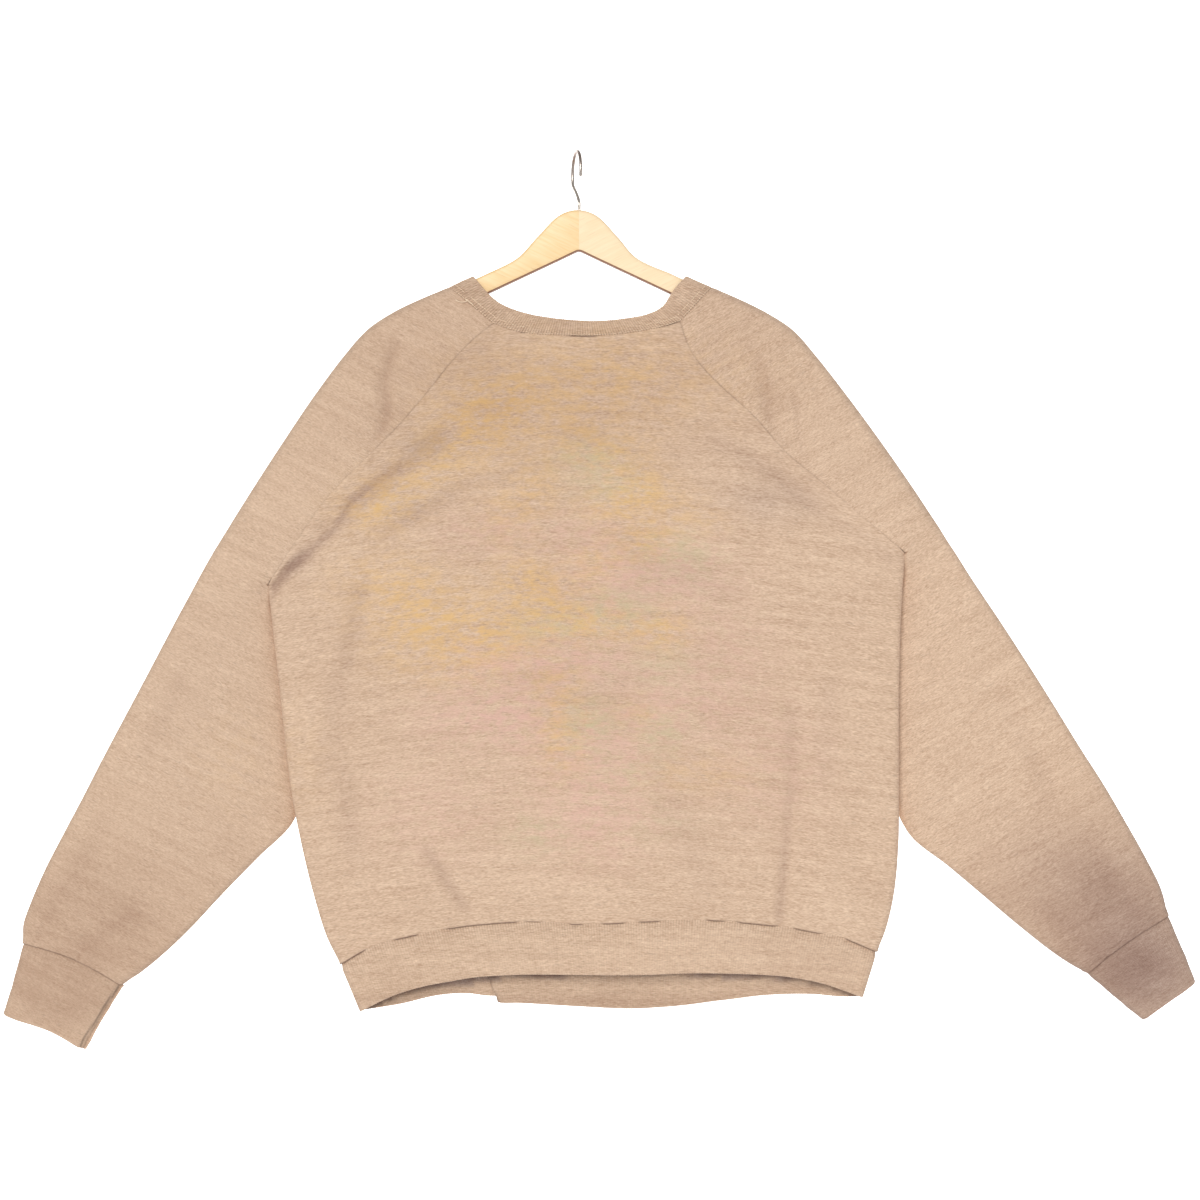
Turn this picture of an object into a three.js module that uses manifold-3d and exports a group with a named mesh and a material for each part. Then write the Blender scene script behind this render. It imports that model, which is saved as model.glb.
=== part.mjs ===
// A raglan crewneck sweatshirt hung flat on a wooden hanger.
// Millimetres, Z up. The back faces -Y, and X runs to the wearer's right.
// The origin is where a rail carries the hook, at the top of its inside.
import * as THREE from 'three'
import { mergeVertices } from 'three/addons/utils/BufferGeometryUtils.js'
import Module from 'manifold-3d'

function table(columns, rows) {
  const names = columns.split(' ')
  return rows.map((row) => Object.fromEntries(row.map((value, i) => [names[i], value])))
}

// Cloth
const fleeceWall = 2.0
const ribWall = 2.4
const seamGap = 0.3
const underarmGap = 0.8 // wider where four pieces meet
const hookOffset = 2.5 // the hook leans, so its seat is this far to the left of the hanger's middle

// Folds at the edges of the flat-hung garment: half thickness and run of the rounded part
const shoulderFold = { depth: 9.6, run: 11.5, swell: 40 }
const sleeveFold = { depth: 7, run: 7.5, swell: 40 }
const sideFold = { depth: 7, run: 7, swell: 120 }
const foldSteps = [0, 30, 60, 90] // degrees round a folded edge

// Columns of the grids
const bodyMiddleColumns = 16
const sleeveMiddleColumns = 5
const bandRows = 3

// Rows of the grids, as shares of the tables below
const raglanSteps = [0, 0.11, 0.22, 0.33, 0.44, 0.55, 0.66, 0.77, 0.87, 0.94, 0.98, 0.993, 1]
const sideRows = 12
const sleeveRows = 17

// Hanger
const wood = {
  thickness: 12, edge: 3.4, slope: 0.47, tipX: 196, tipReach: 6, straightFromX: 95.6, underFromX: 20,
  topZ: -60, shoulderZ: -126.3, vApexZ: -102.9, underZ: -112.5,
  holeDepth: 24,
}
const humpLine = table('x z', [
  [-65.5, -111], [-43.5, -88], [-22, -66.5], [-1.5, -60], [19.5, -66.5], [40.5, -88], [61.5, -111],
])
const wire = {
  radius: 1.75, sides: 8, steps: 44, bendRadius: 22, turn: 78, tipAngle: -18, footAngle: 207, angleStep: 15,
  neckShare: 0.4, neckRise: 1, straightFrom: 9,
}
const wireHoleClearance = 0.35

// Raglan part of each sleeve, from the collar down to the underarm: the shoulder's outline
// and the seam that joins the sleeve to the back.
const raglan = {
  left: table('outerX outerZ seamX seamZ fullness', [
    [-137, -141, -90, -180, 11],
    [-166, -153, -110, -196, 11.5],
    [-195, -167, -134, -221, 12],
    [-222, -185, -162, -256, 12.5],
    [-247, -213, -190, -288, 13],
    [-279, -256, -223, -321, 14],
    [-311, -303.5, -260, -358.5, 15],
    [-345, -356, -294, -405, 15.5],
    [-383, -417, -326.6, -453.6, 16],
  ]),
  right: table('outerX outerZ seamX seamZ fullness', [
    [140, -141, 106, -178, 11],
    [169, -153.5, 114, -202, 11.5],
    [198, -168, 128, -224, 12],
    [225, -186, 150, -247, 12.5],
    [249, -213, 183, -277, 13],
    [281, -254, 216, -314, 14],
    [312, -296, 255, -347, 15],
    [345, -343, 299, -384, 15.5],
    [378, -392.5, 342.3, -420, 16],
  ]),
}

// The rest of each sleeve, from the underarm to the cuff: outer and inner fold, fullness,
// how far each fold lies towards the front, and how much the section bows upwards.
const sleeve = {
  left: table('outerX outerZ innerX innerZ fullness outerBack innerBack bow', [
    [-383, -417, -326.6, -453.6, 16, 0, 0, 0],
    [-390, -429, -327, -463, 15.5, 0.5, 5, 0],
    [-399, -445, -321.5, -482, 15, 1, 13, 0],
    [-409, -463.5, -314, -512, 14.5, 2, 16.5, 0],
    [-422, -487, -306, -556, 14, 3, 17.5, 0],
    [-438, -517, -299, -612, 13.5, 4, 17.5, 0],
    [-459, -556.5, -294, -668, 13, 5, 17, 0],
    [-480, -595.5, -302, -703, 13, 6, 16, 0],
    [-501, -635, -339, -741, 12.5, 6, 13, 0],
    [-522, -676, -375, -778, 12.5, 6, 10, 0],
    [-543, -716, -410, -815.5, 12, 5, 8, 1],
    [-562, -753, -439, -843, 12, 5, 6, 3],
    [-576.5, -787, -462, -861.5, 12, 4, 5, 5],
    [-584.5, -811, -474, -869, 12, 4, 4.5, 6],
    [-584, -829, -481, -873, 11.5, 4, 4, 7],
  ]),
  right: table('outerX outerZ innerX innerZ fullness outerBack innerBack bow', [
    [378, -392.5, 342.3, -420, 16, 0, 0, 0],
    [387, -407, 343.3, -431, 15.5, 0.5, 5, 0],
    [397, -422, 339, -449, 15, 1, 13, 0],
    [409, -441, 331, -478, 14.5, 2, 16.5, 0],
    [423, -462, 325.5, -520, 14, 3, 17.5, 0],
    [441, -488.5, 324.5, -574, 13.5, 4, 17.5, 0],
    [463, -522, 326, -630, 13, 5, 17, 0],
    [485, -556, 331, -676, 13, 6, 16.5, 0],
    [506.5, -590.5, 349, -717, 12.5, 6, 14, 0],
    [529, -627, 389, -749.5, 12.5, 6, 11, 0],
    [551, -661.5, 424, -779, 12, 5, 9, 1],
    [573, -699, 460, -809.5, 12, 5, 7, 2],
    [598, -744, 496, -838, 12, 4, 5, 3],
    [612, -773, 516, -851.5, 12, 4, 4.5, 4],
    [619, -800, 533.4, -861, 11.5, 4, 4, 4],
  ]),
}

// Each cuff from its seam to its open end
const cuff = {
  left: table('outerX outerZ innerX innerZ fullness', [
    [-584, -829, -481, -873, 11.5],
    [-593.5, -866, -504, -908, 12],
    [-605, -903.5, -521, -940.8, 12.5],
  ]),
  right: table('outerX outerZ innerX innerZ fullness', [
    [619, -800, 533.4, -861, 11.5],
    [634, -834, 562, -886, 12.5],
    [647.9, -869.4, 592.2, -910.4, 13],
  ]),
}

// The two sides of the body, from the underarm to the hem seam
const sides = table('leftX leftZ rightX rightZ fullness', [
  [-326.6, -453.6, 342.3, -420, 16],
  [-321, -505, 338.5, -480, 16.5],
  [-314.5, -562, 336.5, -545, 17],
  [-308.7, -616, 336, -610, 17],
  [-302, -670, 336, -670, 17],
  [-292, -723, 335.5, -723, 17],
  [-279, -777, 331, -775, 17],
  [-265, -822, 322, -815, 17],
  [-251, -850.5, 313, -837, 17],
])

// Curves from left to right across the body
const neckSeam = {
  back: table('x z', [
    [-90, -180], [-63, -189], [-20, -192.6], [19, -193.2], [45, -191], [86, -184], [106, -178],
  ]),
  front: table('x z', [
    [-83, -212], [-62, -237], [-30, -252], [10, -257], [48, -251], [78, -236], [99, -210],
  ]),
}
const collarEdge = {
  back: table('x z', [
    [-111, -128.8], [-96, -146.5], [-84, -157], [-72, -163], [-52, -169], [-20, -173.8],
    [16, -176], [54, -172.8], [74, -168.5], [87, -161.5], [97, -147], [112, -128.8],
  ]),
  front: table('x z', [
    [-111, -128.8], [-91, -160], [-72, -188], [-50, -212], [-22, -226], [10, -231],
    [40, -226], [65, -212], [86, -187], [100, -158], [112, -128.8],
  ]),
}
const hemSeam = {
  back: table('x z', [
    [-251, -850.5], [-223, -834], [-193, -823], [-163, -816], [-122, -808.5], [-60, -803.5],
    [1, -806.5], [60, -804], [132, -802], [207, -808.5], [252, -816], [276, -821.5], [313, -837],
  ]),
  front: table('x z', [
    [-251, -850.5], [-200, -847], [-120, -841], [-60, -845], [10, -849],
    [100, -848], [200, -841], [260, -837], [313, -837],
  ]),
}
const hemEdge = {
  back: table('x z', [
    [-230, -901], [-197, -884], [-166, -873.5], [-134, -867], [-103, -862.5], [-60, -860],
    [54, -860.5], [126, -858.5], [194, -860.5], [227, -864], [258, -871], [298, -886],
  ]),
  front: table('x z', [
    [-230, -901], [-190, -895.5], [-147, -886.5], [-113, -885.5], [-84, -893], [-61, -894], [1, -898],
    [55, -900.5], [107, -897.5], [149, -892], [191.5, -887], [244, -885], [276, -887], [298, -886],
  ]),
}

// How far the front seam of a sleeve starts below and inside the back one, at the collar
const frontSeamDrop = { x: 7, z: -32, fade: 1.5 }

// Collar: depth of its free edge at the shoulders and at the middle, where it leans inwards
const collarLean = { shoulder: 9.8, middle: 6.8, from: 40, over: 55, bulge: 0.8 }

// Largest folds, as soft troughs along a line: how wide and how deep
const folds = {
  back: table('x1 z1 x2 z2 width depth', [
    [-135, -290, -225, -350, 20, 4.5],
    [-225, -350, -312, -440, 20, 5],
    [-125, -354, -205, -398, 20, 2.5],
    [-190, -222, -204, -291, 16, 3.5],
    [195, -240, 216, -307, 15, 3.5],
    [170, -312, 290, -396, 22, 4],
    [-214, -470, -246, -640, 24, 3.5],
    [-162, -705, -125, -800, 22, 3.5],
    [216, -532, 216, -800, 24, 4],
    [-395, -520, -455, -640, 24, 3],
    [440, -560, 500, -690, 24, 3],
  ]),
  front: table('x1 z1 x2 z2 width depth', [
    [-140, -330, -300, -440, 24, 4.5],
    [150, -330, 318, -410, 24, 4.5],
    [-200, -220, -214, -300, 18, 3.5],
    [200, -240, 222, -310, 18, 3.5],
    [-98, -640, -98, -900, 16, 5],
    [150, -560, 170, -850, 26, 4],
    [-400, -540, -455, -650, 26, 3],
    [430, -560, 500, -690, 26, 3],
  ]),
}
const backFace = -1
const frontFace = 1

const colours = { cloth: 0xc9a98a, rib: 0xc2a285, wood: 0xecc98f, woodPale: 0xf3d9a8, steel: 0x9a9a9c }

// Reading the tables

function lineThrough(rows, x = 'x', z = 'z') {
  const points = rows.map((row) => new THREE.Vector3(row[x], 0, row[z]))
  return new THREE.CatmullRomCurve3(points, false, 'centripetal')
}

function valueAt(rows, column, t) {
  const place = t * (rows.length - 1)
  const below = Math.min(Math.floor(place), rows.length - 2)
  return THREE.MathUtils.lerp(rows[below][column], rows[below + 1][column], place - below)
}

const lines = {}
for (const side of ['left', 'right']) {
  lines[side] = {
    shoulder: lineThrough(raglan[side], 'outerX', 'outerZ'),
    backSeam: lineThrough(raglan[side], 'seamX', 'seamZ'),
    outer: lineThrough(sleeve[side], 'outerX', 'outerZ'),
    inner: lineThrough(sleeve[side], 'innerX', 'innerZ'),
    body: lineThrough(sides, `${side}X`, `${side}Z`),
  }
}
const signOf = { left: -1, right: 1 }
const faceName = { [backFace]: 'back', [frontFace]: 'front' }

function raglanSeamPoint(side, face, t) {
  const point = lines[side].backSeam.getPoint(t)
  if (face === frontFace) {
    const fade = (1 - t) ** frontSeamDrop.fade
    point.x -= signOf[side] * frontSeamDrop.x * fade
    point.z += frontSeamDrop.z * fade
  }
  return point
}

function seamInset(t) {
  const near = THREE.MathUtils.smoothstep(t, raglanSteps[raglanSteps.length - 4], 1)
  return THREE.MathUtils.lerp(seamGap, underarmGap, near) / 2
}

// Depth of the flat-hung cloth

function rise(distance, fold, fullness) {
  const round = Math.min(distance / fold.run, 1)
  const swell = Math.min(distance / fold.swell, 1)
  const edge = fold.depth * Math.sqrt(1 - (1 - round) ** 2)
  return edge + (fullness - fold.depth) * Math.sin((swell * Math.PI) / 2)
}

function troughs(x, z, face) {
  let total = 0
  for (const f of folds[faceName[face]]) {
    const length = Math.hypot(f.x2 - f.x1, f.z2 - f.z1)
    const along = ((x - f.x1) * (f.x2 - f.x1) + (z - f.z1) * (f.z2 - f.z1)) / length
    const across = ((x - f.x1) * (f.z2 - f.z1) - (z - f.z1) * (f.x2 - f.x1)) / length
    const beyond = Math.max(0, -along, along - length)
    total += f.depth * Math.exp(-((across / f.width) ** 2) - (beyond / (1.5 * f.width)) ** 2)
  }
  return total
}

function clothDepth(x, z, face, fullness, first, second) {
  const share = (first / fullness) * (second / fullness)
  return share * (fullness - Math.min(share, 1) * troughs(x, z, face))
}

// Places across a sheet, closer together where its edges fold round
function placesAcross(width, firstRun, lastRun, middleColumns) {
  const round = (run) => foldSteps.map((angle) => run * (1 - Math.cos(THREE.MathUtils.degToRad(angle))))
  const first = round(firstRun)
  const last = round(lastRun).map((place) => width - place).reverse()
  const middle = []
  for (let i = 1; i < middleColumns; i++) {
    middle.push(THREE.MathUtils.lerp(firstRun, width - lastRun, i / middleColumns))
  }
  return [...first, ...middle, ...last].map((place) => place / width)
}

// Sheets: rows of outer points. Columns run to the right on the back and to the left on the front.

function bodySheet(face) {
  const rows = []
  for (const t of raglanSteps) {
    rows.push({
      left: raglanSeamPoint('left', face, t),
      right: raglanSeamPoint('right', face, t),
      inset: seamInset(t),
      edge: 0,
      fullness: valueAt(raglan.left, 'fullness', t),
    })
  }
  for (let i = 1; i <= sideRows; i++) {
    const t = i / sideRows
    rows.push({
      left: lines.left.body.getPoint(t),
      right: lines.right.body.getPoint(t),
      inset: 0,
      edge: seamGap / 2,
      fullness: valueAt(sides, 'fullness', t),
    })
  }
  const underarmRow = raglanSteps.length - 1
  rows[underarmRow].edge = seamGap / 2
  const underarm = { left: rows[underarmRow].left.clone(), right: rows[underarmRow].right.clone() }
  const top = lineThrough(neckSeam[faceName[face]])
  const bottom = lineThrough(hemSeam[faceName[face]])
  const last = rows[rows.length - 1]
  let travelled = 0
  rows.forEach((row, i) => {
    travelled += i ? row.left.distanceTo(rows[i - 1].left) + row.right.distanceTo(rows[i - 1].right) : 0
    row.travelled = travelled
  })
  const sheet = rows.map((row, i) => {
    const v = row.travelled / travelled
    const left = row.left.clone().add(new THREE.Vector3(row.inset, 0, -row.inset))
    const right = row.right.clone().add(new THREE.Vector3(-row.inset, 0, -row.inset))
    const beyondLeft = i < underarmRow ? row.left.distanceTo(underarm.left) : 0
    const beyondRight = i < underarmRow ? row.right.distanceTo(underarm.right) : 0
    const width = left.distanceTo(right)
    return placesAcross(width, sideFold.run, sideFold.run, bodyMiddleColumns).map((u) => {
      const point = left.clone().lerp(right, u)
      const topBend = top.getPointAt(u).sub(rows[0].left.clone().lerp(rows[0].right, u))
      const bottomBend = bottom.getPointAt(u).sub(last.left.clone().lerp(last.right, u))
      point.addScaledVector(topBend, (1 - v) ** 2).addScaledVector(bottomBend, v ** 2)
      const fromLeft = rise(u * width + beyondLeft, sideFold, row.fullness)
      const fromRight = rise((1 - u) * width + beyondRight, sideFold, row.fullness)
      const depth = clothDepth(point.x, point.z, face, row.fullness, fromLeft, fromRight)
      point.y = face * Math.max(depth, row.edge)
      return point
    })
  })
  return face === frontFace ? sheet.map((row) => row.reverse()) : sheet
}

function sleeveSheet(side) {
  const sign = signOf[side]
  const underarm = lines[side].inner.getPoint(0)
  const half = (row, face) => {
    const inner = face === backFace ? row.back : row.front
    const width = row.outer.distanceTo(inner)
    const beyond = row.open ? inner.distanceTo(underarm) : 0
    const places = placesAcross(width, row.fold.run, sideFold.run, sleeveMiddleColumns)
    return places.map((u) => {
      const point = row.outer.clone().lerp(inner, u)
      point.z += row.bow * Math.sin(Math.PI * u)
      const fromOuter = rise(u * width, row.fold, row.fullness)
      const fromInner = rise((1 - u) * width + beyond, sideFold, row.fullness)
      const depth = clothDepth(point.x, point.z, face, row.fullness, fromOuter, fromInner)
      point.y = face * depth + THREE.MathUtils.lerp(row.outerBack, row.innerBack, u)
      return point
    })
  }
  const rows = raglanSteps.map((t) => {
    const apart = new THREE.Vector3(sign, 0, 1).multiplyScalar(seamInset(t))
    return {
      open: true,
      outer: lines[side].shoulder.getPoint(t),
      back: raglanSeamPoint(side, backFace, t).add(apart),
      front: raglanSeamPoint(side, frontFace, t).add(apart),
      fold: shoulderFold,
      fullness: valueAt(raglan[side], 'fullness', t),
      outerBack: 0,
      innerBack: 0,
      bow: 0,
    }
  })
  rows[rows.length - 1].open = false
  for (let i = 1; i <= sleeveRows; i++) {
    const t = i / sleeveRows
    const inner = lines[side].inner.getPoint(t)
    const fade = Math.min(i / 4, 1)
    const fold = {}
    for (const key of Object.keys(sleeveFold)) {
      fold[key] = THREE.MathUtils.lerp(shoulderFold[key], sleeveFold[key], fade)
    }
    rows.push({
      open: false,
      outer: lines[side].outer.getPoint(t),
      back: inner,
      front: inner,
      fold,
      fullness: valueAt(sleeve[side], 'fullness', t),
      outerBack: valueAt(sleeve[side], 'outerBack', t),
      innerBack: valueAt(sleeve[side], 'innerBack', t),
      bow: valueAt(sleeve[side], 'bow', t),
    })
  }
  return rows.map((row) => {
    const back = half(row, backFace)
    const front = half(row, frontFace)
    return side === 'left' ? [...front.reverse(), ...back.slice(1)] : [...back.reverse(), ...front.slice(1)]
  })
}

// A band goes from the edge points that it is sewn to, towards its own free edge.
function bandSheet(seamPoints, edgePoints, bulge = 0) {
  const sheet = []
  for (let i = 0; i <= bandRows; i++) {
    const t = i / bandRows
    sheet.push(seamPoints.map((seam, j) => {
      const run = edgePoints[j].clone().sub(seam)
      const start = seamGap / run.length()
      const point = seam.clone().addScaledVector(run, THREE.MathUtils.lerp(start, 1, t))
      point.y += Math.sign(point.y) * bulge * Math.sin(Math.PI * t)
      return point
    }))
  }
  return sheet
}

// A ring joins the edges of several sheets, left end to right end, once round.
function ringOf(edges) {
  const ring = []
  for (const point of edges.flat()) {
    const before = ring[ring.length - 1]
    if (before && before.distanceTo(point) < 1) before.lerp(point, 0.5)
    else ring.push(point.clone())
  }
  if (ring[0].distanceTo(ring[ring.length - 1]) < 1) ring[0].lerp(ring.pop(), 0.5)
  return ring
}

function sharesAlong(points) {
  const travelled = [0]
  for (let i = 1; i < points.length; i++) {
    const step = points[i].clone().sub(points[i - 1]).setY(0)
    travelled.push(travelled[i - 1] + step.length())
  }
  return travelled.map((length) => length / travelled[travelled.length - 1])
}

// Turns a ring so that it starts at its left end, and gives its back and front from left to right.
function halvesOf(ring) {
  const places = ring.map((point) => point.x)
  const start = places.indexOf(Math.min(...places))
  const turned = [...ring.slice(start), ...ring.slice(0, start)]
  const end = turned.findIndex((point) => point.x === Math.max(...places))
  return { turned, back: turned.slice(0, end + 1), front: [...turned.slice(end), turned[0]].reverse() }
}

function collarSheet(ring) {
  const { turned, back, front } = halvesOf(ring)
  const edgeOf = (seam, face) => {
    const edge = lineThrough(collarEdge[faceName[face]])
    const length = edge.getLength()
    return sharesAlong(seam).map((share) => {
      const point = edge.getPointAt(share)
      const fromShoulder = Math.min(share, 1 - share) * length
      const lean = THREE.MathUtils.smoothstep(fromShoulder - collarLean.from, 0, collarLean.over)
      const full = THREE.MathUtils.lerp(collarLean.shoulder, collarLean.middle, lean)
      point.y = face * rise(fromShoulder, { ...shoulderFold, depth: full }, full)
      return point
    })
  }
  const edge = [...edgeOf(back, backFace), ...edgeOf(front, frontFace).reverse().slice(1, -1)]
  return bandSheet(turned, edge, collarLean.bulge).reverse()
}

function hemSheet(ring) {
  const { turned, back, front } = halvesOf(ring)
  const edgeOf = (seam, face) => {
    const edge = lineThrough(hemEdge[faceName[face]])
    return sharesAlong(seam).map((share, i) => edge.getPointAt(share).setY(seam[i].y))
  }
  const edge = [...edgeOf(back, backFace), ...edgeOf(front, frontFace).reverse().slice(1, -1)]
  return bandSheet(turned, edge)
}

// The hem band has a back and a front half, which meet at the sides.
function halfBand(sheet, from, to, face) {
  return sheet.map((row) => {
    const points = row.slice(from, to + 1).map((point) => point.clone())
    for (const end of [points[0], points[points.length - 1]]) end.y = face * seamGap / 2
    return points
  })
}

function cuffSheet(side, ring) {
  const rows = cuff[side]
  const seam = rows[0]
  const end = rows[rows.length - 1]
  const middle = rows[1]
  const place = (row, share, y, bow) => new THREE.Vector3(
    THREE.MathUtils.lerp(row.outerX, row.innerX, share),
    y * (row.fullness / seam.fullness),
    THREE.MathUtils.lerp(row.outerZ, row.innerZ, share) + bow,
  )
  const outer = new THREE.Vector2(seam.outerX, seam.outerZ)
  const across = new THREE.Vector2(seam.innerX, seam.innerZ).sub(outer)
  const shares = ring.map((p) => new THREE.Vector2(p.x, p.z).sub(outer).dot(across) / across.lengthSq())
  const back = sleeve[side][sleeve[side].length - 1]
  const sheet = []
  for (let i = 0; i <= bandRows; i++) {
    const t = i / bandRows
    sheet.push(ring.map((p, j) => {
      const y = p.y - back.outerBack
      const bow = back.bow * Math.sin(Math.PI * THREE.MathUtils.clamp(shares[j], 0, 1)) * (1 - t)
      const first = new THREE.Vector3(p.x, y, p.z)
      const half = place(middle, shares[j], y, 0.5 * bow)
      const last = place(end, shares[j], y, 0)
      const curve = new THREE.QuadraticBezierCurve3(first, half, last)
      const point = curve.getPoint(t)
      if (i === 0) point.addScaledVector(last.clone().sub(first).normalize(), seamGap)
      point.y += back.outerBack
      return point
    }))
  }
  return sheet
}

// Solids

// A sheet becomes a wall. Its ring is welded from row closedFrom on.
function weldedSheet(sheet, closedFrom) {
  const columns = sheet[0].length
  const indexOf = (row, column) => row * columns + (row >= closedFrom && column === columns - 1 ? 0 : column)
  const triangles = []
  const addTriangle = (a, b, c) => {
    if (a !== b && b !== c && c !== a) triangles.push([a, b, c])
  }
  for (let row = 0; row + 1 < sheet.length; row++) {
    for (let column = 0; column + 1 < columns; column++) {
      const a = indexOf(row, column)
      const b = indexOf(row, column + 1)
      const c = indexOf(row + 1, column + 1)
      const d = indexOf(row + 1, column)
      addTriangle(a, d, b)
      addTriangle(b, d, c)
    }
  }
  const points = sheet.flat()
  const normals = points.map(() => new THREE.Vector3())
  for (const [a, b, c] of triangles) {
    const across = points[b].clone().sub(points[a]).cross(points[c].clone().sub(points[a]))
    for (const i of [a, b, c]) normals[i].add(across)
  }
  normals.forEach((normal) => normal.normalize())
  const open = new Map()
  for (const [a, b, c] of triangles) {
    for (const [from, to] of [[a, b], [b, c], [c, a]]) {
      if (!open.delete(`${to} ${from}`)) open.set(`${from} ${to}`, [from, to])
    }
  }
  return { points, normals, triangles, rim: [...open.values()] }
}

// Pieces that meet at a seam get the same direction there, so that their walls stay apart.
function matchSeams(pieces) {
  const reach = 2 * seamGap
  const edges = pieces.flatMap((piece) => {
    const onRim = new Set(piece.rim.flat())
    return [...onRim].map((i) => ({ piece, i, point: piece.points[i], own: piece.normals[i].clone() }))
  })
  for (const edge of edges) {
    const met = edges.filter((other) => other.point.distanceTo(edge.point) < reach)
    const shared = new THREE.Vector3()
    for (const other of met) shared.add(other.own)
    edge.piece.normals[edge.i] = shared.normalize()
  }
}

function wallGeometry(piece, wall) {
  const { points, normals, triangles, rim } = piece
  const count = points.length
  const inner = points.map((point, i) => point.clone().addScaledVector(normals[i], -wall))
  const index = [
    ...triangles,
    ...triangles.map(([a, b, c]) => [a + count, c + count, b + count]),
    ...rim.flatMap(([from, to]) => [[to, from, from + count], [to, from + count, to + count]]),
  ]
  const used = [...new Set(index.flat())].sort((a, b) => a - b)
  const renumbered = new Map(used.map((old, i) => [old, i]))
  const all = [...points, ...inner]
  const geometry = new THREE.BufferGeometry()
  const positions = used.flatMap((i) => all[i].toArray())
  geometry.setAttribute('position', new THREE.Float32BufferAttribute(positions, 3))
  geometry.setIndex(index.flat().map((i) => renumbered.get(i)))
  return geometry
}

// Hanger

const wasm = await Module()
wasm.setup()

function solidOf(geometry) {
  const bare = geometry.clone()
  bare.deleteAttribute('normal')
  bare.deleteAttribute('uv')
  const merged = mergeVertices(bare, 1e-4)
  const mesh = new wasm.Mesh({
    numProp: 3,
    vertProperties: new Float32Array(merged.attributes.position.array),
    triVerts: new Uint32Array(merged.index.array),
  })
  return new wasm.Manifold(mesh)
}

function geometryOf(solid) {
  const { vertProperties, triVerts } = solid.getMesh()
  const geometry = new THREE.BufferGeometry()
  geometry.setAttribute('position', new THREE.BufferAttribute(new Float32Array(vertProperties), 3))
  geometry.setIndex([...triVerts])
  return geometry
}

function hangerOutline() {
  const { slope, tipX, tipReach, straightFromX, underFromX } = wood
  const tipTop = wood.shoulderZ - slope * (tipX - straightFromX)
  const tipUnder = wood.underZ - slope * (tipX - underFromX)
  const tipMiddle = (tipTop + tipUnder) / 2
  const farX = tipX + tipReach
  const humped = humpLine.map((row) => new THREE.Vector2(row.x, row.z))
  const leftFoot = new THREE.Vector2(-straightFromX, wood.shoulderZ)
  const rightFoot = new THREE.Vector2(straightFromX, wood.shoulderZ)
  const hump = new THREE.SplineCurve([leftFoot, ...humped, rightFoot])
  const shape = new THREE.Shape()
  shape.setFromPoints(hump.getPoints(28))
  shape.lineTo(tipX, tipTop)
  shape.quadraticCurveTo(farX, tipTop - slope * tipReach, farX, tipMiddle)
  shape.quadraticCurveTo(farX, tipUnder, tipX - tipReach, tipUnder + tipReach * slope)
  shape.lineTo(underFromX, wood.underZ)
  shape.quadraticCurveTo(0, wood.vApexZ, -underFromX, wood.underZ)
  shape.lineTo(tipReach - tipX, tipUnder + tipReach * slope)
  shape.quadraticCurveTo(-farX, tipUnder, -farX, tipMiddle)
  shape.quadraticCurveTo(-farX, tipTop - slope * tipReach, -tipX, tipTop)
  return shape
}

function hangerArms() {
  const depth = wood.thickness - 2 * wood.edge
  const plank = new THREE.ExtrudeGeometry(hangerOutline(), {
    depth, curveSegments: 5, bevelEnabled: true, bevelThickness: wood.edge, bevelSize: wood.edge,
    bevelOffset: -wood.edge, bevelSegments: 2,
  })
  plank.translate(0, 0, -depth / 2)
  plank.rotateX(Math.PI / 2)
  const hole = new THREE.CylinderGeometry(
    wire.radius + wireHoleClearance, wire.radius + wireHoleClearance, 2 * wood.holeDepth, 12,
  )
  hole.rotateX(Math.PI / 2)
  hole.translate(0, 0, wood.topZ)
  const drilled = solidOf(plank).subtract(solidOf(hole))
  const reach = 500
  const cutSide = (sign) => {
    const away = new THREE.BoxGeometry(reach, reach, reach)
    away.translate(sign * (reach / 2 - seamGap / 2), 0, 0)
    return geometryOf(drilled.subtract(solidOf(away)))
  }
  return { left: cutSide(1), right: cutSide(-1) }
}

function hookPath() {
  const centreZ = wire.radius - wire.bendRadius
  const turn = THREE.MathUtils.degToRad(wire.turn)
  const points = []
  for (let angle = wire.tipAngle; angle <= wire.footAngle; angle += wire.angleStep) {
    const a = THREE.MathUtils.degToRad(angle)
    const out = wire.bendRadius * Math.cos(a)
    points.push(new THREE.Vector3(
      -hookOffset + out * Math.cos(turn), -out * Math.sin(turn), centreZ + wire.bendRadius * Math.sin(a),
    ))
  }
  const foot = points[points.length - 1]
  const under = centreZ - wire.bendRadius
  points.push(new THREE.Vector3(foot.x * wire.neckShare, foot.y * wire.neckShare, under + wire.neckRise))
  for (const z of [under - wire.straightFrom, wood.topZ, wood.topZ - wood.holeDepth + 1]) {
    points.push(new THREE.Vector3(0, 0, z))
  }
  return new THREE.CatmullRomCurve3(points, false, 'centripetal')
}

function hookGeometry() {
  const section = new THREE.Shape()
  for (let i = 0; i < wire.sides; i++) {
    const a = ((i + 0.5) * 2 * Math.PI) / wire.sides
    const r = wire.radius / Math.cos(Math.PI / wire.sides)
    const corner = [r * Math.cos(a), r * Math.sin(a)]
    if (i) section.lineTo(...corner)
    else section.moveTo(...corner)
  }
  const geometry = new THREE.ExtrudeGeometry(section, {
    steps: wire.steps, bevelEnabled: false, extrudePath: hookPath(),
  })
  geometry.deleteAttribute('normal')
  geometry.deleteAttribute('uv')
  return mergeVertices(geometry, 1e-4)
}

// Assembly

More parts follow.
